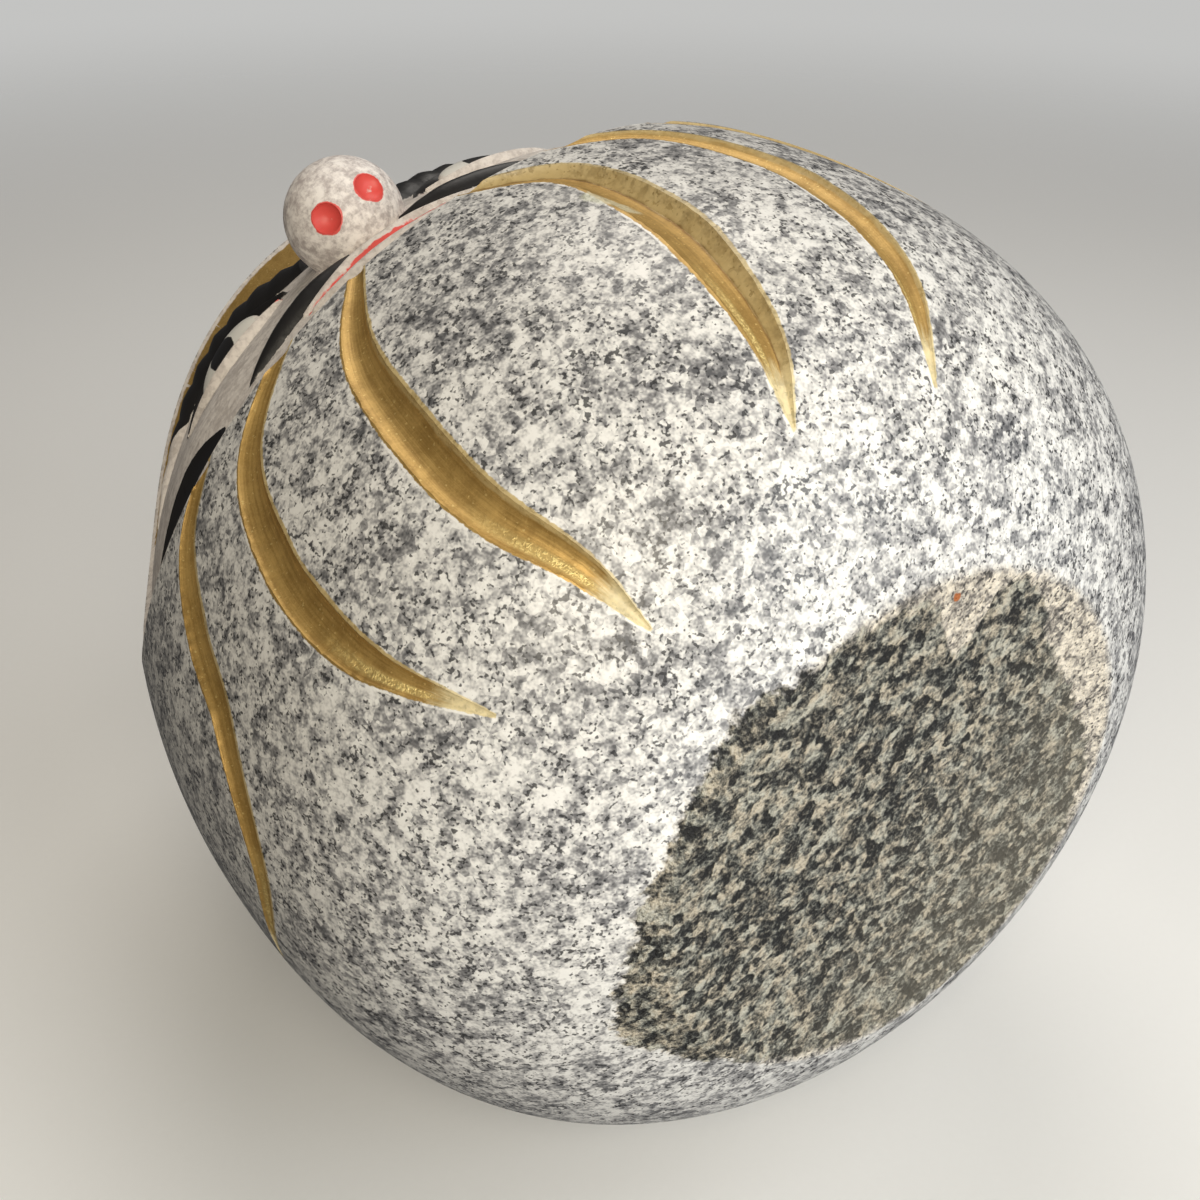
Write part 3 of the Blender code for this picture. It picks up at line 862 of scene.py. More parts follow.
def refine(stone):
    """Triangles, with the carved areas cut finer."""
    work = bmesh.new()
    work.from_mesh(stone.data)
    bmesh.ops.dissolve_degenerate(work, dist=SHORTEST_EDGE, edges=work.edges)
    bmesh.ops.triangulate(work, faces=work.faces)
    for _ in range(REFINE_PASSES):
        work.verts.ensure_lookup_table()
        places = np.array([vertex.co[:] for vertex in work.verts])
        carved = (sunk_depth(places) > CARVED_DEPTH) & (places[:, 2] > CARVED_LOW_SHARE * HEIGHT)
        edges = []
        for edge in work.edges:
            first, second = edge.verts
            near = carved[first.index] or carved[second.index]
            if near and edge.calc_length() > CARVED_EDGE and all(map(broad_enough, edge.link_faces)):
                edges.append(edge)
        bmesh.ops.subdivide_edges(work, edges=edges, cuts=1)
        bmesh.ops.triangulate(work, faces=[face for face in work.faces if len(face.verts) > 3])
    work.to_mesh(stone.data)
    work.free()


def foot_on_skin(places):
    """Azimuth and height of the skin point nearest to each place."""
    azimuths = np.arctan2(places[:, 0], -places[:, 1])
    radius = np.hypot(places[:, 0], places[:, 1])
    heights = np.clip(places[:, 2], 0.0, FOOT_TOP)
    for _ in range(FOOT_PASSES):
        slope = np.clip(profile_slope(heights), -STEEPEST, STEEPEST)
        off_radius = radius - profile_radius(heights)
        off_height = places[:, 2] - heights
        climb = (off_radius * slope + off_height) / (1.0 + slope ** 2)
        heights = np.clip(heights + climb, 0.0, FOOT_TOP)
    return azimuths, heights


def distance_to_loop(points, loop, reach):
    """Distance from points to a closed row of points, no more than reach."""
    distance = np.full(len(points), reach)
    for start, end in zip(loop, np.roll(loop, -1, axis=0)):
        side = end - start
        share = np.clip((points - start) @ side / (side @ side), 0.0, 1.0)
        distance = np.minimum(distance, np.linalg.norm(points - start - share[:, None] * side, axis=1))
    return distance


def opening_distance(azimuths, heights):
    """Distance along the skin to the opening's edge, positive inside the opening."""
    points, _ = skin(azimuths, heights)
    loop, _ = skin(*opening_outline(OPENING_POINTS))
    across, rise = face_shares(azimuths, heights)
    squareness = np.where(rise > 0.0, OPENING_UPPER_SQUARENESS, OPENING_LOWER_SQUARENESS)
    inside = np.abs(across) ** squareness + np.abs(rise) ** squareness < 1.0
    distance = distance_to_loop(points, loop, OPENING_REACH)
    return np.where(inside, distance, -distance)


def nearest_border(strokes, places):
    borders = [stroke.measure(places, PAINT_REACH)[0] for stroke in strokes]
    return np.min(borders, axis=0)


def store(mesh, name, values):
    layer = mesh.attributes.new(name, "FLOAT", "POINT")
    layer.data.foreach_set("value", np.asarray(values, np.float32))


def measure_grooves(mesh, places, grooves):
    """Leave on the mesh where each point lies along, across and beside its nearest groove."""
    border = np.full(len(places), PAINT_REACH)
    along = np.zeros(len(places))
    sideways = np.zeros(len(places))
    left = np.full(len(places), PAINT_REACH)
    thin = np.ones(len(places))
    off_crease = np.ones(len(places))
    for index, stroke in enumerate(grooves):
        name = stroke.name.removeprefix("groove_")
        thin_share, spill = GROOVE_PAINT[name]
        one_border, one_along, one_across = stroke.measure(places, PAINT_REACH)
        closer = one_border < border
        border[closer] = one_border[closer]
        along[closer] = one_along[closer] + index * stroke.length
        sideways[closer] = one_across[closer]
        left[closer] = stroke.length - one_along[closer]
        thin[closer] = one_across[closer] + 1.0 - thin_share
        off_crease[closer] = 1.0
        if name == CREASED_GROOVE:
            off_crease[closer] = np.abs(one_across[closer] - CREASE_PLACE / (1.0 + spill))
    store(mesh, "groove_border", border)
    store(mesh, "groove_along", along)
    store(mesh, "groove_across", np.clip(sideways, -2.0, 2.0))
    store(mesh, "groove_left", left)
    store(mesh, "groove_thin", np.clip(thin, -1.0, 1.0))
    store(mesh, "groove_off_crease", off_crease)
    smear = distance_to_loop(places, np.array(SMEAR) * MM, PAINT_REACH)
    store(mesh, "smear_border", smear - SMEAR_RADIUS)


def measure_hood(mesh, azimuths, heights):
    """Leave on the mesh how far each point is from the border of the hood's painted edge."""
    _, rise = face_shares(azimuths, heights)
    inside = opening_distance(azimuths, heights)
    slope_width = HOOD_SLOPE_WIDTH * face_depth(azimuths, heights) / OPENING_CUT_DEPTH
    hood = np.maximum(HOOD_BARE_EDGE - inside, inside - slope_width - HOOD_PAINT_SPILL)
    low_end = (HOOD_PAINT_END - rise) * OPENING_HALF_HEIGHT_SHARE * HEIGHT + HOOD_PAINT_SLANT * inside
    store(mesh, "hood_border", np.maximum(hood, low_end))
    store(mesh, "face_inside", inside)


def measure_face(mesh, places, azimuths, heights, strokes):
    """Leave on the mesh how far each point is from the borders of the nose and the painted features."""
    across, rise = face_shares(azimuths, heights)
    half_turn = math.radians(OPENING_HALF_TURN) * profile_radius(heights)
    half_height = OPENING_HALF_HEIGHT_SHARE * HEIGHT
    store(mesh, "nose_border", np.linalg.norm(places - nose_centre(), axis=1) - NOSE_RADIUS)
    nostril = np.min([np.linalg.norm(places - centre, axis=1) for centre in nostril_centres()], axis=0)
    red = np.minimum(nostril - NOSTRIL_PAINT * NOSTRIL_RADIUS, nearest_border(strokes["mouth"], places))
    corner = np.hypot((np.abs(across) - EYE_CORNER[0]) * half_turn, (rise - EYE_CORNER[1]) * half_height)
    store(mesh, "red_border", np.minimum(red, corner - EYE_CORNER_RADIUS))

    from_eye = (np.abs(across) - EYE_PLACE[0]) * half_turn
    over_eye = (rise - EYE_PLACE[1]) * half_height
    eye = np.hypot(from_eye / EYE_HALF_WIDTH, over_eye / EYE_HALF_HEIGHT)
    store(mesh, "eye_border", (eye - 1.0) * EYE_HALF_HEIGHT)
    black = np.hypot(from_eye, over_eye) - PUPIL_RADIUS
    for stroke in strokes["brows"]:
        border, along, sideways = stroke.measure(places, PAINT_REACH)
        end = along - BROW_PAINTED_SHARE * stroke.length + BROW_PAINT_TAPER * np.abs(sideways)
        black = np.minimum(black, np.maximum(border, end))
    hair = strokes["upper_lids"] + strokes["moustache"] + strokes["beard"]
    store(mesh, "black_border", np.minimum(black, nearest_border(hair, places)))


def measure_underside(mesh, places):
    """Leave on the mesh how far each point is from the borders of the underside and its dark patch."""
    from_axis = np.hypot(places[:, 0], places[:, 1])
    low = places[:, 2] < PATCH_TOP
    turns, radii = np.array(PATCH_OUTLINE).T
    outline = np.interp(np.degrees(np.arctan2(places[:, 0], -places[:, 1])), turns, radii * MM)
    store(mesh, "patch_border", np.where(low, from_axis - outline, PAINT_REACH))
    store(mesh, "base_border", np.where(low, from_axis - BASE_RADIUS, PAINT_REACH))


def undulate(mesh):
    """Slow hand-ground unevenness of the whole stone, kept inside its box."""
    places = vertex_places(mesh)
    normals = np.empty(len(mesh.vertices) * 3)
    mesh.vertices.foreach_get("normal", normals)
    normals = normals.reshape(-1, 3)
    slow = np.array([noise.noise(Vector(place) * SLOW_WAVES) for place in places])
    quick = np.array([noise.noise(Vector(place) * QUICK_WAVES + QUICK_OFFSET) for place in places])
    shift = -SLOW_DEPTH * (0.5 + 0.5 * slow) - QUICK_DEPTH * (0.5 + 0.5 * quick)
    shift[places[:, 2] < FLAT_UNDER] = 0.0
    places += shift[:, None] * normals
    mesh.vertices.foreach_set("co", places.reshape(-1))
    mesh.update()


# Shader building

def join_sockets(tree, made, sockets):
    """Set sockets of a node to values, or join them to what other nodes put out."""
    for name, value in sockets.items():
        if isinstance(value, bpy.types.NodeSocket):
            tree.links.new(value, made.inputs[name])
        else:
            made.inputs[name].default_value = value


def node(tree, kind, sockets=None, **settings):
    made = tree.nodes.new("ShaderNode" + kind)
    for name, value in settings.items():
        setattr(made, name, value)
    join_sockets(tree, made, sockets or {})
    return made


def maths(tree, operation, *terms, clamp=False):
    sockets = dict(enumerate(terms))
    return node(tree, "Math", sockets, operation=operation, use_clamp=clamp).outputs[0]


def times(tree, first, second, clamp=False):
    return maths(tree, "MULTIPLY", first, second, clamp=clamp)


def plus_share(tree, value, share, rest):
    """Rest and a share of value added to it."""
    return maths(tree, "MULTIPLY_ADD", value, share, rest)


def larger(tree, first, second):
    return maths(tree, "MAXIMUM", first, second)


def rest_of(tree, mask):
    """1 where mask is 0, and 0 where it is 1."""
    return maths(tree, "SUBTRACT", 1.0, mask)


def mixed(tree, mask, low, high, blend="MIX"):
    """Colour that goes from low to high as mask goes from 0 to 1."""
    return node(tree, "Mix", {0: mask, 6: low, 7: high}, data_type="RGBA", blend_type=blend).outputs[2]


def tinted(tree, shade, tint):
    return mixed(tree, 1.0, shade, tint, "MULTIPLY")


def between(tree, mask, low, high):
    """Number that goes from low to high as mask goes from 0 to 1."""
    return node(tree, "Mix", {0: mask, 2: low, 3: high}, data_type="FLOAT").outputs[0]


def step_up(tree, value, low, high):
    """Smooth 0 to 1 as value goes from low to high."""
    sockets = {"Value": value, "From Min": low, "From Max": high}
    return node(tree, "MapRange", sockets, interpolation_type="SMOOTHSTEP").outputs[0]


def grain_noise(tree, place, scale, detail=2.0, roughness=0.5):
    sockets = {"Vector": place, "Scale": scale, "Detail": detail, "Roughness": roughness, "Distortion": 0.0}
    return node(tree, "TexNoise", sockets).outputs["Fac"]


def cell_tone(tree, place, scale, feature="F1", **sockets):
    """One random tone for each of the cells that fill space."""
    cells = node(tree, "TexVoronoi", {"Vector": place, "Scale": scale, **sockets}, feature=feature)
    return node(tree, "SeparateColor", {"Color": cells.outputs["Color"]}).outputs[0]


def attribute(tree, name):
    return node(tree, "Attribute", attribute_name=name).outputs["Fac"]


def object_place(tree):
    return node(tree, "TexCoord").outputs["Object"]


def tone_ramp(tree, tone, stops):
    """Colour that follows tone through stops of position and colour."""
    ramp = node(tree, "ValToRGB", {"Fac": tone})
    for index, (position, shade) in enumerate(stops):
        stop = ramp.color_ramp.elements[index] if index < 2 else ramp.color_ramp.elements.new(position)
        stop.position = position
        stop.color = shade
    return ramp.outputs["Color"]


def bumped(tree, relief, height):
    sockets = {"Height": relief, "Distance": height, "Strength": 1.0}
    return node(tree, "Bump", sockets).outputs["Normal"]


def new_group(name, inputs, outputs):
    """Empty node group with named sockets; gives the group, its input and its output node."""
    group = bpy.data.node_groups.new(name, "ShaderNodeTree")
    kinds = {"value": "NodeSocketFloat", "colour": "NodeSocketColor", "vector": "NodeSocketVector"}
    for label, kind in inputs:
        group.interface.new_socket(label, in_out="INPUT", socket_type=kinds[kind])
    for label, kind in outputs:
        group.interface.new_socket(label, in_out="OUTPUT", socket_type=kinds[kind])
    return group, group.nodes.new("NodeGroupInput").outputs, group.nodes.new("NodeGroupOutput")


def use_group(tree, group, sockets):
    return node(tree, "Group", sockets, node_tree=group).outputs


def new_material(name):
    material = bpy.data.materials.new(name)
    material.use_nodes = True
    tree = material.node_tree
    tree.nodes.clear()
    output = tree.nodes.new("ShaderNodeOutputMaterial")
    return material, tree, output


def granite_group():
    """Feldspar, quartz and black mica grains of a fine pale granite."""
    inputs = [("Place", "vector"), ("Mica Amount", "value")]
    group, given, result = new_group("granite grain", inputs, [("Colour", "colour"), ("Mica", "value")])
    place = given["Place"]
    # White feldspar clumps in grey quartz, broken up down to single grains
    clumps = grain_noise(group, place, CLUMP_SCALE, detail=3.0, roughness=CLUMP_ROUGHNESS)
    drift = grain_noise(group, place, DRIFT_SCALE, detail=1.0)
    crystal = cell_tone(group, place, CRYSTAL_SCALE)
    tone = plus_share(group, drift, DRIFT_SHARE, clumps)
    tone = plus_share(group, crystal, CRYSTAL_SHARE, tone)
    feldspar = tone_ramp(group, tone, GRANITE_TONES)
    # Small black mica flecks, in clusters and mostly in the grey quartz
    flecks = grain_noise(group, place, FLECK_SCALE, detail=1.0)
    cluster = grain_noise(group, place, FLECK_CLUSTER_SCALE, detail=1.0)
    fleck_value = plus_share(group, cluster, FLECK_CLUSTER_SHARE, flecks)
    fleck_value = plus_share(group, clumps, FLECK_CLUMP_SHARE, fleck_value)
    mica = step_up(group, fleck_value, FLECK_NONE, FLECK_FULL)
    mica = times(group, mica, given["Mica Amount"], clamp=True)
    shade = mixed(group, times(group, mica, MICA_COVER), feldspar, MICA_BLACK)
    join_sockets(group, result, {"Colour": shade, "Mica": mica})
    return group


def brushed_gold_group():
    """Brass-coloured paint drawn smoothly along a groove, with faint brush marks, a painted highlight band
    and a few painted glints.
    """
    inputs = [("Place", "vector"), ("Along", "value"), ("Across", "value"), ("Painted Highlight", "value")]
    outputs = [("Colour", "colour"), ("Roughness", "value"), ("Relief", "value")]
    group, given, result = new_group("brushed gold", inputs, outputs)
    place = given["Place"]
    lengthwise = times(group, given["Along"], BRUSH_MARKS_LENGTHWISE)
    crosswise = times(group, given["Across"], BRUSH_MARKS_ACROSS)
    streak_place = node(group, "CombineXYZ", {0: lengthwise, 1: crosswise}).outputs[0]
    streaks = grain_noise(group, streak_place, 1.0, detail=3.0, roughness=0.6)
    cloud = grain_noise(group, place, CLOUD_SCALE, detail=3.0, roughness=0.6)
    spark = cell_tone(group, place, SPARK_SCALE)
    tone = plus_share(group, cloud, CLOUD_SHARE, times(group, streaks, STREAK_SHARE))
    tone = step_up(group, plus_share(group, spark, SPARK_SHARE, tone), low=0.45, high=0.85)
    shade = mixed(group, tone, GOLD_DARK, GOLD_LIGHT)
    # Painted highlight: a bright band broken up by noise, and single painted glints
    highlight_breakup = grain_noise(group, place, HIGHLIGHT_BREAKUP_SCALE, detail=2.0, roughness=0.6)
    highlight_breakup = step_up(group, highlight_breakup, low=0.42, high=0.66)
    painted_highlight = times(group, between(group, highlight_breakup, HIGHLIGHT_WEAKEST, 1.0), given["Painted Highlight"])
    painted_glint = times(group, step_up(group, spark, low=0.970, high=0.990), PAINTED_GLINT_SHARE)
    painted_highlight = larger(group, painted_highlight, painted_glint)
    shade = mixed(group, painted_highlight, shade, GOLD_PAINTED_HIGHLIGHT)
    relief = plus_share(group, cloud, CLOUD_RELIEF, times(group, streaks, STREAK_SHARE))
    relief = plus_share(group, painted_highlight, HIGHLIGHT_BAND_RELIEF, relief)
    roughness = between(group, streaks, GOLD_SMOOTHEST, GOLD_ROUGHEST)
    join_sockets(group, result, {"Colour": shade, "Roughness": roughness, "Relief": relief})
    return group


def sawn_grain(tree, place):
    """Colour and relief of the rough sawn stone: soft rounded grains with dark specks between them."""
    warp = node(tree, "TexNoise", {"Vector": place, "Scale": SAWN_WARP_SCALE, "Detail": 2.0}).outputs["Color"]
    bend = {0: warp, 1: (SAWN_WARP,) * 3, 2: place}
    bent = node(tree, "VectorMath", bend, operation="MULTIPLY_ADD").outputs[0]
    grains = cell_tone(tree, bent, SAWN_GRAIN_SCALE, feature="SMOOTH_F1", Smoothness=SAWN_SMOOTHNESS)
    grit = grain_noise(tree, place, GRIT_SCALE, detail=2.0, roughness=0.7)
    patches = grain_noise(tree, place, SAWN_PATCH_SCALE, detail=3.0, roughness=0.7)
    tone = plus_share(tree, grains, SAWN_GRAIN_SHARE, grit)
    tone = plus_share(tree, patches, SAWN_PATCH_SHARE, tone)
    shade = tone_ramp(tree, maths(tree, "SUBTRACT", tone, SAWN_TONE_START), SAWN_TONES)
    hue = grain_noise(tree, place, SAWN_HUE_SCALE, detail=2.0, roughness=0.6)
    hue = mixed(tree, step_up(tree, hue, low=0.38, high=0.62), SAWN_COOL, SAWN_WARM)
    return tinted(tree, shade, hue), tone


def ragged_border(tree, distance, unevenness, raggedness, softness):
    """Mask of a painted or stained shape from the distance to its border, with an uneven edge."""
    offset = maths(tree, "SUBTRACT", unevenness, 0.5)
    distance = plus_share(tree, offset, raggedness, distance)
    return step_up(tree, distance, softness, -softness)


def painted_granite(grain, brushed):
    """Honed granite with its dull underside, worked face, gold grooves and painted features."""
    material, tree, output = new_material("painted granite")
    place = object_place(tree)
    axes = node(tree, "SeparateXYZ", {"Vector": place}).outputs
    fine_uneven = grain_noise(tree, place, FINE_UNEVEN_SCALE, detail=2.0, roughness=0.6)
    broad_uneven = grain_noise(tree, place, BROAD_UNEVEN_SCALE, detail=3.0, roughness=0.62)

    def edged(distance, ragged, soft, uneven=fine_uneven):
        return ragged_border(tree, distance, uneven, ragged, soft)

    # Where each finish lies
    border = attribute(tree, "groove_border")
    along = attribute(tree, "groove_along")
    across = attribute(tree, "groove_across")
    left = attribute(tree, "groove_left")
    thinness = attribute(tree, "groove_thin")
    inside = attribute(tree, "face_inside")
    in_groove = edged(maths(tree, "SUBTRACT", border, GOLD_OVER_EDGE), ragged=0.7 * MM, soft=0.12 * MM)
    hood = edged(attribute(tree, "hood_border"), ragged=0.5 * MM, soft=0.15 * MM)
    eye = edged(attribute(tree, "eye_border"), ragged=0.2 * MM, soft=0.15 * MM)
    red = edged(attribute(tree, "red_border"), ragged=1.5 * MM, soft=0.15 * MM, uneven=broad_uneven)
    black = edged(attribute(tree, "black_border"), ragged=0.6 * MM, soft=0.12 * MM)
    paint = larger(tree, larger(tree, red, black), eye)
    worked = rest_of(tree, edged(inside, ragged=1.5 * MM, soft=0.4 * MM, uneven=broad_uneven))
    off_nose = maths(tree, "SUBTRACT", attribute(tree, "nose_border"), NOSE_OVER_EDGE)
    on_nose = edged(off_nose, ragged=0.4 * MM, soft=0.15 * MM)
    patch = edged(attribute(tree, "patch_border"), ragged=8.0 * MM, soft=0.7 * MM, uneven=broad_uneven)
    sawn_base = edged(attribute(tree, "base_border"), ragged=3.0 * MM, soft=1.5 * MM, uneven=broad_uneven)
    underside = larger(tree, patch, sawn_base)
    smear = edged(attribute(tree, "smear_border"), ragged=1.6 * MM, soft=0.5 * MM, uneven=broad_uneven)
    rust_far = node(tree, "VectorMath", {0: place, 1: RUST_PLACE}, operation="DISTANCE").outputs["Value"]
    rust = edged(maths(tree, "SUBTRACT", rust_far, RUST_RADIUS), ragged=1.2 * MM, soft=0.15 * MM)

    # Honed stone, paler where the face was worked, partly as painted light, with white chipped stone on one
    # side of each groove, partly a painted highlight
    stone = use_group(tree, grain, {"Place": place, "Mica Amount": rest_of(tree, worked)})
    # Worked face paler as worked stone, and further whitened as painted light where the lamps leave it dim
    base = mixed(tree, times(tree, worked, WORKED_SHARE), stone["Colour"], WORKED_PALE_AND_PAINTED_LIGHT)
    mottle = grain_noise(tree, place, NOSE_MOTTLE_SCALE, detail=3.0, roughness=0.7)
    nose_stone = mixed(tree, step_up(tree, mottle, low=0.30, high=0.66), NOSE_GREY, NOSE_WHITE)
    base = mixed(tree, on_nose, base, nose_stone)
    # White chipped edge on one side of each groove: chipped stone, partly a painted highlight on the broken
    # crystals
    beside = step_up(tree, border, low=0.80 * MM, high=0.40 * MM)
    chip_side = step_up(tree, across, low=0.5, high=0.9)
    chipped_and_highlit = times(tree, times(tree, beside, chip_side), step_up(tree, broad_uneven, low=0.45, high=0.57))
    base = mixed(tree, chipped_and_highlit, base, CHIP_WHITE_AND_HIGHLIGHT)

    # Thin khaki paint on one side of each groove, and a see-through wash at its tip
    wash = tinted(tree, base, WASH_TINT)
    body = step_up(tree, plus_share(tree, broad_uneven, 0.6, thinness), low=-0.55, high=0.40)
    khaki = mixed(tree, between(tree, body, 0.42, 0.90), wash, WASH_KHAKI)
    tip = mixed(tree, between(tree, broad_uneven, 0.45, 0.95), wash, WASH_TIP)
    ragged_left = plus_share(tree, fine_uneven, WASH_RAGGED, left)
    wash = mixed(tree, step_up(tree, ragged_left, low=10.0 * MM, high=19.0 * MM), tip, khaki)
    base = mixed(tree, in_groove, base, wash)
    base = mixed(tree, times(tree, smear, SMEAR_SHARE), base, SMEAR_GREEN)
    base = mixed(tree, rust, base, RUST_BROWN)

    # Marks of the chisel on the face, and pits of the honed stone
    waves = {"Vector": place, "Scale": TOOLING_SCALE, "Distortion": 3.0, "Detail": 1.0, "Detail Scale": 1.4}
    tooling = node(tree, "TexWave", waves, wave_type="BANDS", bands_direction="DIAGONAL").outputs["Fac"]
    on_face = rest_of(tree, step_up(tree, inside, low=0.2 * MM, high=-0.2 * MM))
    pits = times(tree, grain_noise(tree, place, PIT_SCALE, detail=1.0), PIT_SHARE)
    stone_relief = plus_share(tree, times(tree, on_face, tooling), TOOLING_SHARE, pits)
    honed = between(tree, stone["Mica"], HONED_ROUGHNESS, MICA_ROUGHNESS)
    stone_sockets = {
        "Base Color": base,
        "Roughness": between(tree, worked, honed, WORKED_ROUGHNESS),
        "Normal": bumped(tree, stone_relief, STONE_RELIEF),
    }

    # Dull sawn underside: dark grey-green in its patch, beige on its far side, cream beside it
    sawn, grit = sawn_grain(tree, place)
    far_side = plus_share(tree, axes[0], FAR_SIDE_SLANT, axes[1])
    far_side = step_up(tree, far_side, low=-10.0 * MM, high=50.0 * MM)
    dull = mixed(tree, times(tree, far_side, FAR_SIDE_SHARE), sawn, FAR_SIDE_BEIGE)
    dull = mixed(tree, patch, tinted(tree, stone["Colour"], SAWN_CREAM), dull)
    dull_sockets = {
        "Base Color": mixed(tree, rust, dull, RUST_BROWN),
        "Roughness": SAWN_ROUGHNESS,
        "Normal": bumped(tree, grit, SAWN_RELIEF),
    }

    # Gold with a painted highlight band near the tip of each groove, and painted shade in the crease
    lit_side = maths(tree, "ABSOLUTE", maths(tree, "SUBTRACT", across, LIT_LINE))
    near_tip = step_up(tree, left, low=38.0 * MM, high=18.0 * MM)
    near_tip = times(tree, near_tip, step_up(tree, left, low=9.0 * MM, high=13.0 * MM))
    # Painted highlight band near the tip, on the groove's lit side
    highlight_band = times(tree, near_tip, step_up(tree, lit_side, low=0.35, high=0.12))
    gold = use_group(tree, brushed, {"Place": place, "Along": along, "Across": across, "Painted Highlight": highlight_band})
    # Painted shade: the gold darkened along the crease
    crease_shade = step_up(tree, attribute(tree, "groove_off_crease"), low=0.13, high=0.03)
    crease_shaded = tinted(tree, gold["Colour"], GOLD_CREASE_SHADE)
    gold_sockets = {
        "Base Color": mixed(tree, times(tree, crease_shade, CREASE_SHADE_SHARE), gold["Colour"], crease_shaded),
        "Roughness": gold["Roughness"],
        "Metallic": GOLD_METAL,
        "Normal": bumped(tree, gold["Relief"], GOLD_RELIEF),
    }

    # Where the gold covers: thin on one side of each groove and dry-brushed at its tip
    dry_place = {0: times(tree, along, DRY_BRUSH_LENGTHWISE), 1: times(tree, across, DRY_BRUSH_ACROSS)}
    dry_place = node(tree, "CombineXYZ", dry_place).outputs[0]
    bristles = grain_noise(tree, dry_place, 1.0, detail=3.0, roughness=0.7)
    dry = step_up(tree, plus_share(tree, bristles, BRISTLE_REACH, left), low=15.0 * MM, high=20.0 * MM)
    thick = step_up(tree, plus_share(tree, bristles, BRISTLE_SHARE, thinness), low=0.08, high=0.22)
    cover = times(tree, times(tree, in_groove, dry), thick)
    cover = times(tree, cover, rest_of(tree, times(tree, smear, SMEAR_HIDES_GOLD)))
    gold_mask = larger(tree, cover, hood)

    # Red, white and black paint
    tint = mixed(tree, red, EYE_WHITE, PAINT_RED)
    paint_sockets = {
        "Base Color": mixed(tree, black, tint, PAINT_BLACK),
        "Roughness": PAINT_ROUGHNESS,
        "Normal": bumped(tree, grain_noise(tree, place, PAINT_RIPPLE_SCALE, detail=1.0), PAINT_RELIEF),
    }

    shader = node(tree, "BsdfPrincipled", stone_sockets).outputs[0]
    layers = ((underside, dull_sockets), (gold_mask, gold_sockets), (paint, paint_sockets))
    for mask, sockets in layers:
        layer = node(tree, "BsdfPrincipled", sockets).outputs[0]
        shader = node(tree, "MixShader", {0: mask, 1: shader, 2: layer}).outputs[0]
    tree.links.new(shader, output.inputs["Surface"])
    return material


def one_sided_paper(name, tint, reach):
    """Pale paper seen from its front only, fading out with distance from its middle."""
    material, tree, output = new_material(name)
    place = object_place(tree)
    distance = node(tree, "VectorMath", {0: place}, operation="LENGTH").outputs["Value"]
    fibres = grain_noise(tree, place, FIBRE_SCALE, detail=3.0, roughness=0.6)
    sockets = {
        "Base Color": mixed(tree, times(tree, fibres, FIBRE_SHARE), tint, FIBRE_GREY),
        "Roughness": PAPER_ROUGHNESS,
        "Normal": bumped(tree, times(tree, fibres, FIBRE_RELIEF), 1.0),
    }
    paper = node(tree, "BsdfPrincipled", sockets).outputs[0]
    clear = node(tree, "BsdfTransparent").outputs[0]
    faded = step_up(tree, distance, low=PAPER_FADES_FROM * reach, high=PAPER_FADES_TO * reach)
    unseen = larger(tree, faded, node(tree, "NewGeometry").outputs["Backfacing"])
    shader = node(tree, "MixShader", {0: unseen, 1: paper, 2: clear}).outputs[0]
    tree.links.new(shader, output.inputs["Surface"])
    return material


def paper_sheet(name, middle, facing):
    mesh = bpy.data.meshes.new(name)
    signs = ((-1, -1), (1, -1), (1, 1), (-1, 1))
    corners = [(side * PAPER_REACH, end * PAPER_REACH, 0.0) for side, end in signs]
    mesh.from_pydata(corners, [], [(0, 1, 2, 3)])
    sheet = bpy.data.objects.new(name, mesh)
    bpy.context.scene.collection.objects.link(sheet)
    sheet.rotation_mode = "QUATERNION"
    sheet.rotation_quaternion = Vector(facing).to_track_quat("Z", "Y")
    sheet.location = middle
    sheet.visible_shadow = False
    sheet.visible_diffuse = False
    sheet.visible_glossy = False
    mesh.materials.append(one_sided_paper(name, PAPER_TINT, PAPER_REACH))


def soft_light(name, place, target, energy, tint):
    data = bpy.data.lights.new(name, "AREA")
    data.shape = "DISK"
    data.energy = energy
    data.size = LIGHT_SIZE
    data.color = tint
    light = bpy.data.objects.new(name, data)
    bpy.context.scene.collection.objects.link(light)
    light.location = place
    light.rotation_mode = "QUATERNION"
    light.rotation_quaternion = (Vector(place) - Vector(target)).to_track_quat("Z", "Y")


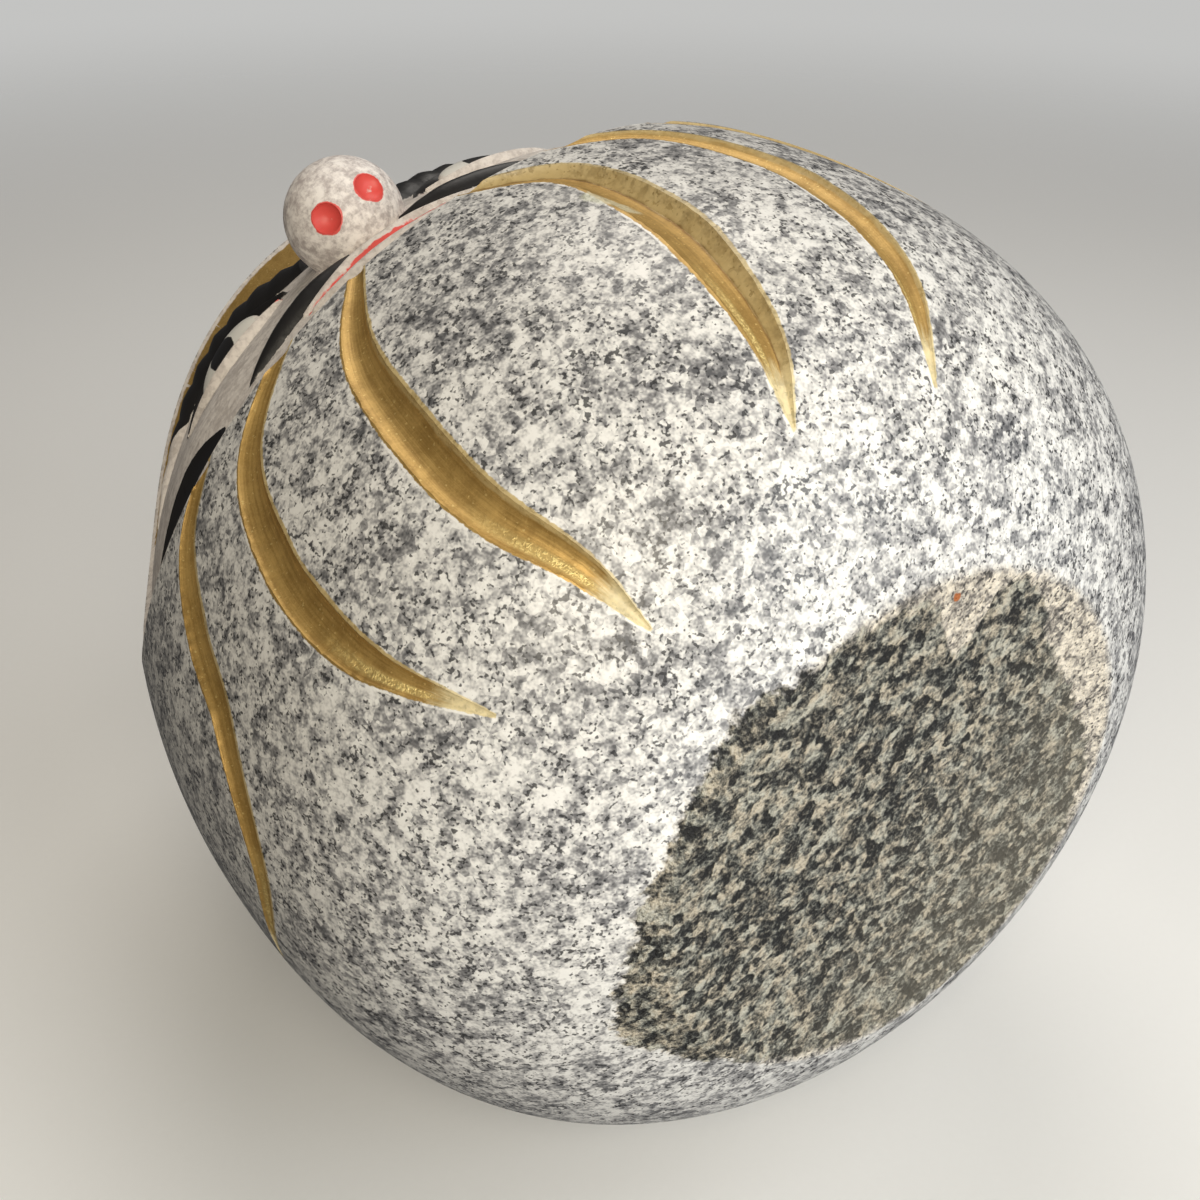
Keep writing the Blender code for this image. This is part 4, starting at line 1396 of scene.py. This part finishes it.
def studio_lights():
    """Large soft lights round the statue, placed from where the camera stands."""
    middle = Vector((0.0, 0.0, LIGHT_AIM_SHARE * HEIGHT))
    for name, (right, up, toward), energy, tint in SOFT_LIGHTS:
        way = (right * CAMERA_RIGHT + up * CAMERA_UP + toward * CAMERA_BACK).normalized()
        soft_light(name, middle + LIGHT_DISTANCE * way, middle, energy, tint)


def studio_world():
    """Dim even light, in front of a plain grey backdrop."""
    world = bpy.data.worlds.new("pale studio")
    bpy.context.scene.world = world
    world.use_nodes = True
    tree = world.node_tree
    tree.nodes.clear()
    seen = node(tree, "LightPath").outputs["Is Camera Ray"]
    shade = mixed(tree, seen, STUDIO_LIGHT, BACKDROP)
    strength = between(tree, seen, STUDIO_STRENGTH, 1.0)
    background = node(tree, "Background", {"Color": shade, "Strength": strength})
    output = tree.nodes.new("ShaderNodeOutputWorld")
    tree.links.new(background.outputs[0], output.inputs["Surface"])


def photograph_camera():
    data = bpy.data.cameras.new("camera")
    data.sensor_width = SENSOR
    data.lens = FOCAL_PIXELS / FRAME_PIXELS * SENSOR
    data.clip_start = NEAREST_SEEN
    camera = bpy.data.objects.new("camera", data)
    bpy.context.scene.collection.objects.link(camera)
    turn = Matrix((CAMERA_RIGHT, CAMERA_UP, CAMERA_BACK)).transposed()
    camera.matrix_world = Matrix.Translation(CAMERA_PLACE) @ turn.to_4x4()
    bpy.context.scene.camera = camera


# The statue
stone, strokes = carved_stone()
refine(stone)
places = vertex_places(stone.data)
azimuths, heights = foot_on_skin(places)
measure_grooves(stone.data, places, strokes["grooves"])
measure_hood(stone.data, azimuths, heights)
measure_face(stone.data, places, azimuths, heights, strokes)
measure_underside(stone.data, places)
undulate(stone.data)
stone.data.shade_smooth()
stone.data.set_sharp_from_angle(angle=math.radians(SHARP_EDGE_DEGREES))
stone.data.materials.clear()
stone.data.materials.append(painted_granite(granite_group(), brushed_gold_group()))
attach(stone, "root")
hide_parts(STONE)

# Floor, light and camera
paper_sheet("floor", Vector((0.0, 0.0, -FLOOR_GAP)), Vector((0.0, 0.0, 1.0)))
paper_sheet("rest_sheet", -REST_FACING * REST_AWAY, REST_FACING)
studio_lights()
studio_world()
photograph_camera()
bpy.context.scene.view_settings.view_transform = "Standard"
